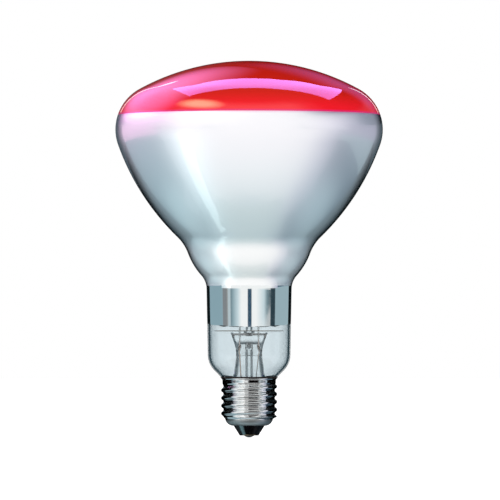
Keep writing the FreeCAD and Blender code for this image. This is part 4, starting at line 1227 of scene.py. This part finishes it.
@dataclass
class Reflectors:
    """Cards that only reflections show. Places are in metres, and bearings in degrees from the front."""

    dome: Place = (-0.04, -0.03, 0.16)
    waist: Place = (0.0, 0.0, 0.09)
    ceiling: float = 0.96
    left_wall: float = -1.0
    back_wall: float = 0.9
    front_wall: float = -0.8
    veil_wall: float = -0.79
    near_wall: float = -0.1
    cap_floor: float = -0.1
    veil_cover: float = 0.52
    mask_reach: float = 0.3
    mask_rows: tuple[Point, ...] = ((-0.14, 0.035), (0.035, 0.09), (0.09, 0.165))
    screen_reach: float = 0.29
    screen_row: Point = (0.128, 0.148)

    def _masks(self) -> list[Card]:
        """Solid cards at both sides, dark for the screw cap. The bulb sees the surround's tones on them.

        Returns:
            The cards, one for each part of a side and each row.
        """
        sides = (
            (-78, -132, (Panel.MIST, Panel.MIST, Panel.ROSE)),
            (-132, -160, (Panel.GAP, Panel.NIGHT, Panel.SLATE)),
            (82, 133, (Panel.BLUE, Panel.PALE, Panel.HAZE)),
            (133, 155, (Panel.GAP, Panel.NIGHT, Panel.SLATE)))
        return [
            Card(f"cap_mask_{number}_{row}", upright_corners(first, last, self.mask_reach, low, high),
                 colour=tone.value, blend=Blend.SOLID)
            for number, (first, last, tones) in enumerate(sides)
            for row, ((low, high), tone) in enumerate(zip(self.mask_rows, tones))]

    def _screens(self) -> list[Card]:
        """Hide the surround's neck tones from the widest part of the bulb.

        Returns:
            The cards, in steps round the lamp.
        """
        parts = (
            (-86, -74, (0.45, 0.44, 0.52)), (-74, -62, (0.66, 0.66, 0.72)), (-62, -50, Panel.PEARL.value),
            (-50, -36, Panel.WHITE.value), (46, 60, (0.95, 0.94, 0.99)), (60, 72, Panel.LILAC.value),
            (72, 84, (0.72, 0.72, 0.82)), (84, 96, Panel.DUSK.value))
        return [
            Card(f"level_screen_{number}", upright_corners(first, last, self.screen_reach, *self.screen_row),
                 colour=tone, blend=Blend.SOLID)
            for number, (first, last, tone) in enumerate(parts)]

    def _bands(self) -> list[Card]:
        """Crisp bands: one across the red front, and those down the left of the cone.

        Returns:
            The cards.
        """
        overhead = (
            (-0.41, 0.70), (-0.2, 0.715), (-0.06, 0.68), (0.04, 0.68), (0.14, 0.72), (0.29, 0.9),
            (0.5, 1.08), (0.75, 0.18), (0.42, 0.18), (0.19, 0.21), (0.05, 0.235), (-0.08, 0.21),
            (-0.265, 0.125), (-0.484, 0.056))
        upper = ((-0.33, 0.8), (-0.53, -0.1), (-0.49, -0.2), (-0.8, -0.2), (-0.83, -0.15), (-0.6, 0.9))
        lower = (
            (-0.49, -0.2), (-0.38, -0.58), (-0.29, -0.98), (-0.08, -1.7), (0.3, -2.5), (0.1, -3.0),
            (-0.37, -2.0), (-0.56, -1.25), (-0.66, -0.76), (-0.8, -0.2))
        panel = (
            (0.28, -1.3), (0.28, -0.34), (0.98, -0.34), (0.98, 0.55), (-0.33, 0.8), (-0.53, -0.1),
            (-0.38, -0.58), (-0.29, -0.98), (-0.15, -1.3))
        return [
            Card("overhead_band", flat_corners(Square.UP, self.ceiling, overhead), 6.6, (0.55, 0.29, 1.0)),
            Card("strip_upper", flat_corners(Square.ACROSS, self.left_wall, upper), 0.3),
            Card("strip_lower", flat_corners(Square.ACROSS, self.left_wall, lower), 1.1, (0.8, 1.0, 1.0)),
            Card("left_panel", flat_corners(Square.ACROSS, self.left_wall, panel), 0.26, (0.9, 0.95, 1.0))]

    def _washes(self) -> list[Card]:
        """Soft coloured glows on the red front and the left shoulder.

        Returns:
            The cards.
        """
        glows = (
            ("left_wash", (-0.70, 0.53, 0.84), 2.0, 1.3, 5.8, (0.9, 0.3, 0.75)),
            ("right_wash", (0.36, 0.87, 0.58), 0.85, 0.65, 0.48, (0.6, 0.3, 1.0)),
            ("cream_glow", (-0.56, -0.37, 0.94), 0.75, 0.5, 8.0, (1.0, 0.85, 0.5)),
            ("shoulder_wash", (-0.96, 0.34, -0.17), 0.9, 0.28, 0.5, (1.0, 0.5, 0.95)))
        return [
            Card(name, facing_corners(centre, self.dome, width, height), glow, colour, Blend.SOFT)
            for name, centre, width, height, glow, colour in glows]

    def _rims(self) -> list[Card]:
        """Thin arcs on both rims of the red front, and faint glows low on the cone.

        Returns:
            The cards.
        """
        left = ((-0.385, 0.3), (-0.355, 0.3), (-0.225, 0.75), (-0.25, 0.75))
        right = ((0.355, 0.28), (0.325, 0.28), (0.22, 0.52), (0.245, 0.52))
        low_left = facing_corners((-0.16, 0.04, -0.03), self.waist, 0.16, 0.14)
        low_right = facing_corners((0.16, 0.03, -0.03), self.waist, 0.2, 0.18)
        pale = (0.8, 1.0, 1.0)
        return [
            Card("rim_left", flat_corners(Square.DEPTH, self.back_wall, left), 3.0),
            Card("rim_right", flat_corners(Square.DEPTH, self.back_wall, right), 3.0),
            Card("low_left", low_left, 0.3, pale, Blend.SOFT),
            Card("low_right", low_right, 0.35, pale, Blend.SOFT)]

    def _flags(self) -> list[Card]:
        """Solid cards that are dark for the screw cap and glow for the bulb.

        Returns:
            The cards.
        """
        far = ((-0.056, 0.06), (0.695, 0.06), (0.695, 0.6), (-0.056, 0.45))
        low = ((-0.09, -0.03), (0.09, -0.03), (0.12, -0.11), (-0.12, -0.11))
        near = ((-0.005, -0.002), (0.085, -0.002), (0.085, 0.042), (-0.005, 0.042))
        veil = ((-0.3, 0.1), (1.39, 0.1), (1.39, 0.9), (-0.3, 0.9))
        veil_low = ((-0.3, -0.8), (1.39, -0.8), (1.39, 0.025), (-0.3, 0.025))
        flags = [
            Card("cap_flag", flat_corners(Square.DEPTH, self.front_wall, far), blend=Blend.SOLID),
            Card("cap_flag_low", flat_corners(Square.UP, self.cap_floor, low), 0.65, (0.86, 1.0, 1.0),
                 Blend.SOLID),
            Card("cap_flag_near", flat_corners(Square.DEPTH, self.near_wall, near), blend=Blend.SOLID)]
        veils = [
            Card(name, flat_corners(Square.DEPTH, self.veil_wall, outline), blend=Blend.SOLID,
                 cover=self.veil_cover)
            for name, outline in (("cap_veil", veil), ("cap_veil_low", veil_low))]
        return flags + veils

    def build(self, bowl: bpy.types.Collection, foot: bpy.types.Collection) -> None:
        """Place all the cards.

        Args:
            bowl: holds the blown glass, which reflects most of the cards.
            foot: holds the black glass, which reflects one card of its own.
        """
        cards = [*self._masks(), *self._screens(), *self._bands(), *self._washes(), *self._rims(),
                 *self._flags()]
        for card in cards:
            card.build(bowl)
        glint = facing_corners((-0.34, 0.065, -0.49), (0.0, 0.0, 0.0), 0.42, 0.22)
        Card("insulator_glint", glint, 12.0, (0.5, 0.9, 1.0)).build(foot)


@dataclass
class Studio:
    """White surround, pale floor, lamps, cards and camera."""

    floor_size: float = 60.0
    floor_drop: float = 0.0001
    floor_grey: Colour = (0.8, 0.8, 0.8)
    floor_glow: float = 0.55
    lamps: tuple[Softbox, ...] = (
        Softbox("key_left", (-0.9, -1.1, 0.75), 0.8, 0.8, 2.5, (1.0, 0.97, 0.98)),
        Softbox("key_right", (0.9, -1.1, 0.65), 0.8, 0.8, 2.1, (0.97, 0.98, 1.0)))
    camera_place: Place = (0.00042, -3.4, 0.03)
    camera_target: Place = (0.00042, 0.0, 0.0875)
    camera_reach: float = 100.0
    lens: float = 523.9
    sensor: float = 36.0

    def _floor(self) -> None:
        """Pale floor that clips to white for the camera and keeps the lamp's shadow."""
        material, shader = start_material("pale_floor", {
            "Base Color": opaque(self.floor_grey), "Roughness": 0.9, "Specular IOR Level": 0.0,
            "Emission Color": WHITE})
        tree = material.node_tree
        path = add_node(tree, "ShaderNodeLightPath")
        lift = math_node(tree, "MULTIPLY", path.outputs["Is Camera Ray"], self.floor_glow)
        tree.links.new(lift, shader.inputs["Emission Strength"])
        half = self.floor_size / 2
        corners = [(-half, -half, 0), (half, -half, 0), (half, half, 0), (-half, half, 0)]
        floor = smooth_object("studio_floor", corners, [(0, 1, 2, 3)])
        floor.location.z = -self.floor_drop
        floor.visible_glossy = False
        floor.visible_transmission = False
        floor.data.materials.append(material)

    def _camera(self) -> None:
        """Camera level with the cap, looking slightly up."""
        data = bpy.data.cameras.new("photo_camera")
        data.lens = self.lens
        data.sensor_width = self.sensor
        data.clip_end = self.camera_reach
        camera = bpy.data.objects.new("photo_camera", data)
        camera.location = self.camera_place
        aim = Vector(self.camera_target) - Vector(self.camera_place)
        camera.rotation_mode = "QUATERNION"
        camera.rotation_quaternion = aim.to_track_quat("-Z", "Y")
        bpy.context.scene.collection.objects.link(camera)
        bpy.context.scene.camera = camera

    def build(self, bowl: bpy.types.Object, foot: bpy.types.Object) -> None:
        """Set up the studio.

        Args:
            bowl: the blown glass.
            foot: the black glass of the cap.
        """
        bpy.context.scene.view_settings.view_transform = "Standard"
        groups = []
        for piece in (bowl, foot):
            group = bpy.data.collections.new("lit_" + piece.name)
            group.objects.link(piece)
            groups.append(group)
        Surround().build()
        self._floor()
        for lamp in self.lamps:
            lamp.build()
        Reflectors().build(*groups)
        self._camera()


def shell_finishes(effects: SharedEffects) -> dict[ShellZone, bpy.types.Material]:
    """Make the two finishes of the screw shell.

    Args:
        effects: the shared node groups.

    Returns:
        Each belt's material.
    """
    rolled = MetalFinish("bright_nickel", (0.93, 0.95, 0.95), (0.5, 0.48, 0.45), 0.08, 0.14, 0.25)
    # The shoulder's darker colour is painted shade on the underside of the cap; its higher roughness is the
    # metal's own matte finish.
    shoulder = MetalFinish("matte_nickel_painted_shade", (0.58, 0.62, 0.62), (0.28, 0.27, 0.26), 0.42, 0.5, 0.4)
    return {ShellZone.ROLLED: rolled.build(effects), ShellZone.SHOULDER: shoulder.build(effects)}


def node_finishes(effects: SharedEffects) -> dict[str, bpy.types.Material]:
    """Make the finishes of the pieces that keep their CAD shape.

    Args:
        effects: the shared node groups.

    Returns:
        Start of a node's name to its material.
    """
    stem = GlassFinish("stem_glass", (0.99, 1.0, 1.0), 1.52).build()
    opaque_finishes = {
        "heat_shield_disc": SolidFinish("shield_mica", (0.42, 0.34, 0.27), (0.3, 0.22, 0.16), 0.3, 0.45),
        "seal_wire": MetalFinish("seal_wire", (0.82, 0.62, 0.56), (0.6, 0.4, 0.34), 0.3, 0.4),
        "inner_lead": MetalFinish("nickel_wire", (0.9, 0.9, 0.88), (0.7, 0.7, 0.68), 0.2, 0.3),
        "outer_lead": MetalFinish("copper_lead", (0.62, 0.42, 0.32), (0.35, 0.2, 0.14), 0.25, 0.35),
        "filament_support": MetalFinish("support_wire", (0.5, 0.5, 0.5), (0.3, 0.3, 0.3), 0.25, 0.4),
        "cap_insulator": SolidFinish(
            "black_glass", (0.003, 0.003, 0.004), (0.01, 0.009, 0.008), 0.12, 0.2, gloss=0.12),
        # Painted shade: the contact and the tip solder get dark colours, as if in shade under the cap; the
        # side solder keeps the bright colour of solder.
        "centre_contact": MetalFinish("contact_brass", (0.22, 0.18, 0.12), (0.12, 0.1, 0.07), 0.25, 0.4),
        "tip_solder": MetalFinish("solder", (0.18, 0.18, 0.19), (0.1, 0.1, 0.11), 0.3, 0.5, bump=0.3),
        "side_solder": MetalFinish(
            "side_solder", (0.62, 0.63, 0.65), (0.35, 0.35, 0.36), 0.25, 0.45, bump=0.3),
        "capping_cement": SolidFinish(
            "cement", (0.02, 0.014, 0.013), (0.012, 0.009, 0.008), 0.6, 0.9, bump=0.5)}
    made = {start: finish.build(effects) for start, finish in opaque_finishes.items()}
    return {"stem_flare": stem, "exhaust_tube": stem, "glass_arbor": stem, **made}


def main() -> None:
    """Build and dress the lamp, then the studio."""
    logging.basicConfig(level=logging.INFO, format="%(name)s: %(message)s")
    effects = SharedEffects()
    envelope = BlownEnvelope().build({
        Zone.RUBY: RubyFinish().build(effects), Zone.SATIN: SatinFinish().build(effects),
        Zone.MIRROR: MirrorFinish().build(effects),
        Zone.CLEAR: GlassFinish("clear_glass", (0.80, 0.86, 0.885)).build()})
    log.info("%s: %d faces", envelope.name, len(envelope.data.polygons))
    shell = ScrewShell().build(shell_finishes(effects))
    log.info("%s: %d faces", shell.name, len(shell.data.polygons))
    tungsten = MetalFinish("tungsten", (0.32, 0.32, 0.34), (0.2, 0.2, 0.22), 0.3, 0.45)
    filament = CoiledFilament().build(tungsten.build(effects))
    log.info("%s: one coil", filament.name)
    for name in CarriedNodes(node_finishes(effects)).dress():
        log.info("%s: finished", name)
    Studio().build(envelope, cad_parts["cap_insulator"])


if __name__ == "__main__":
    main()
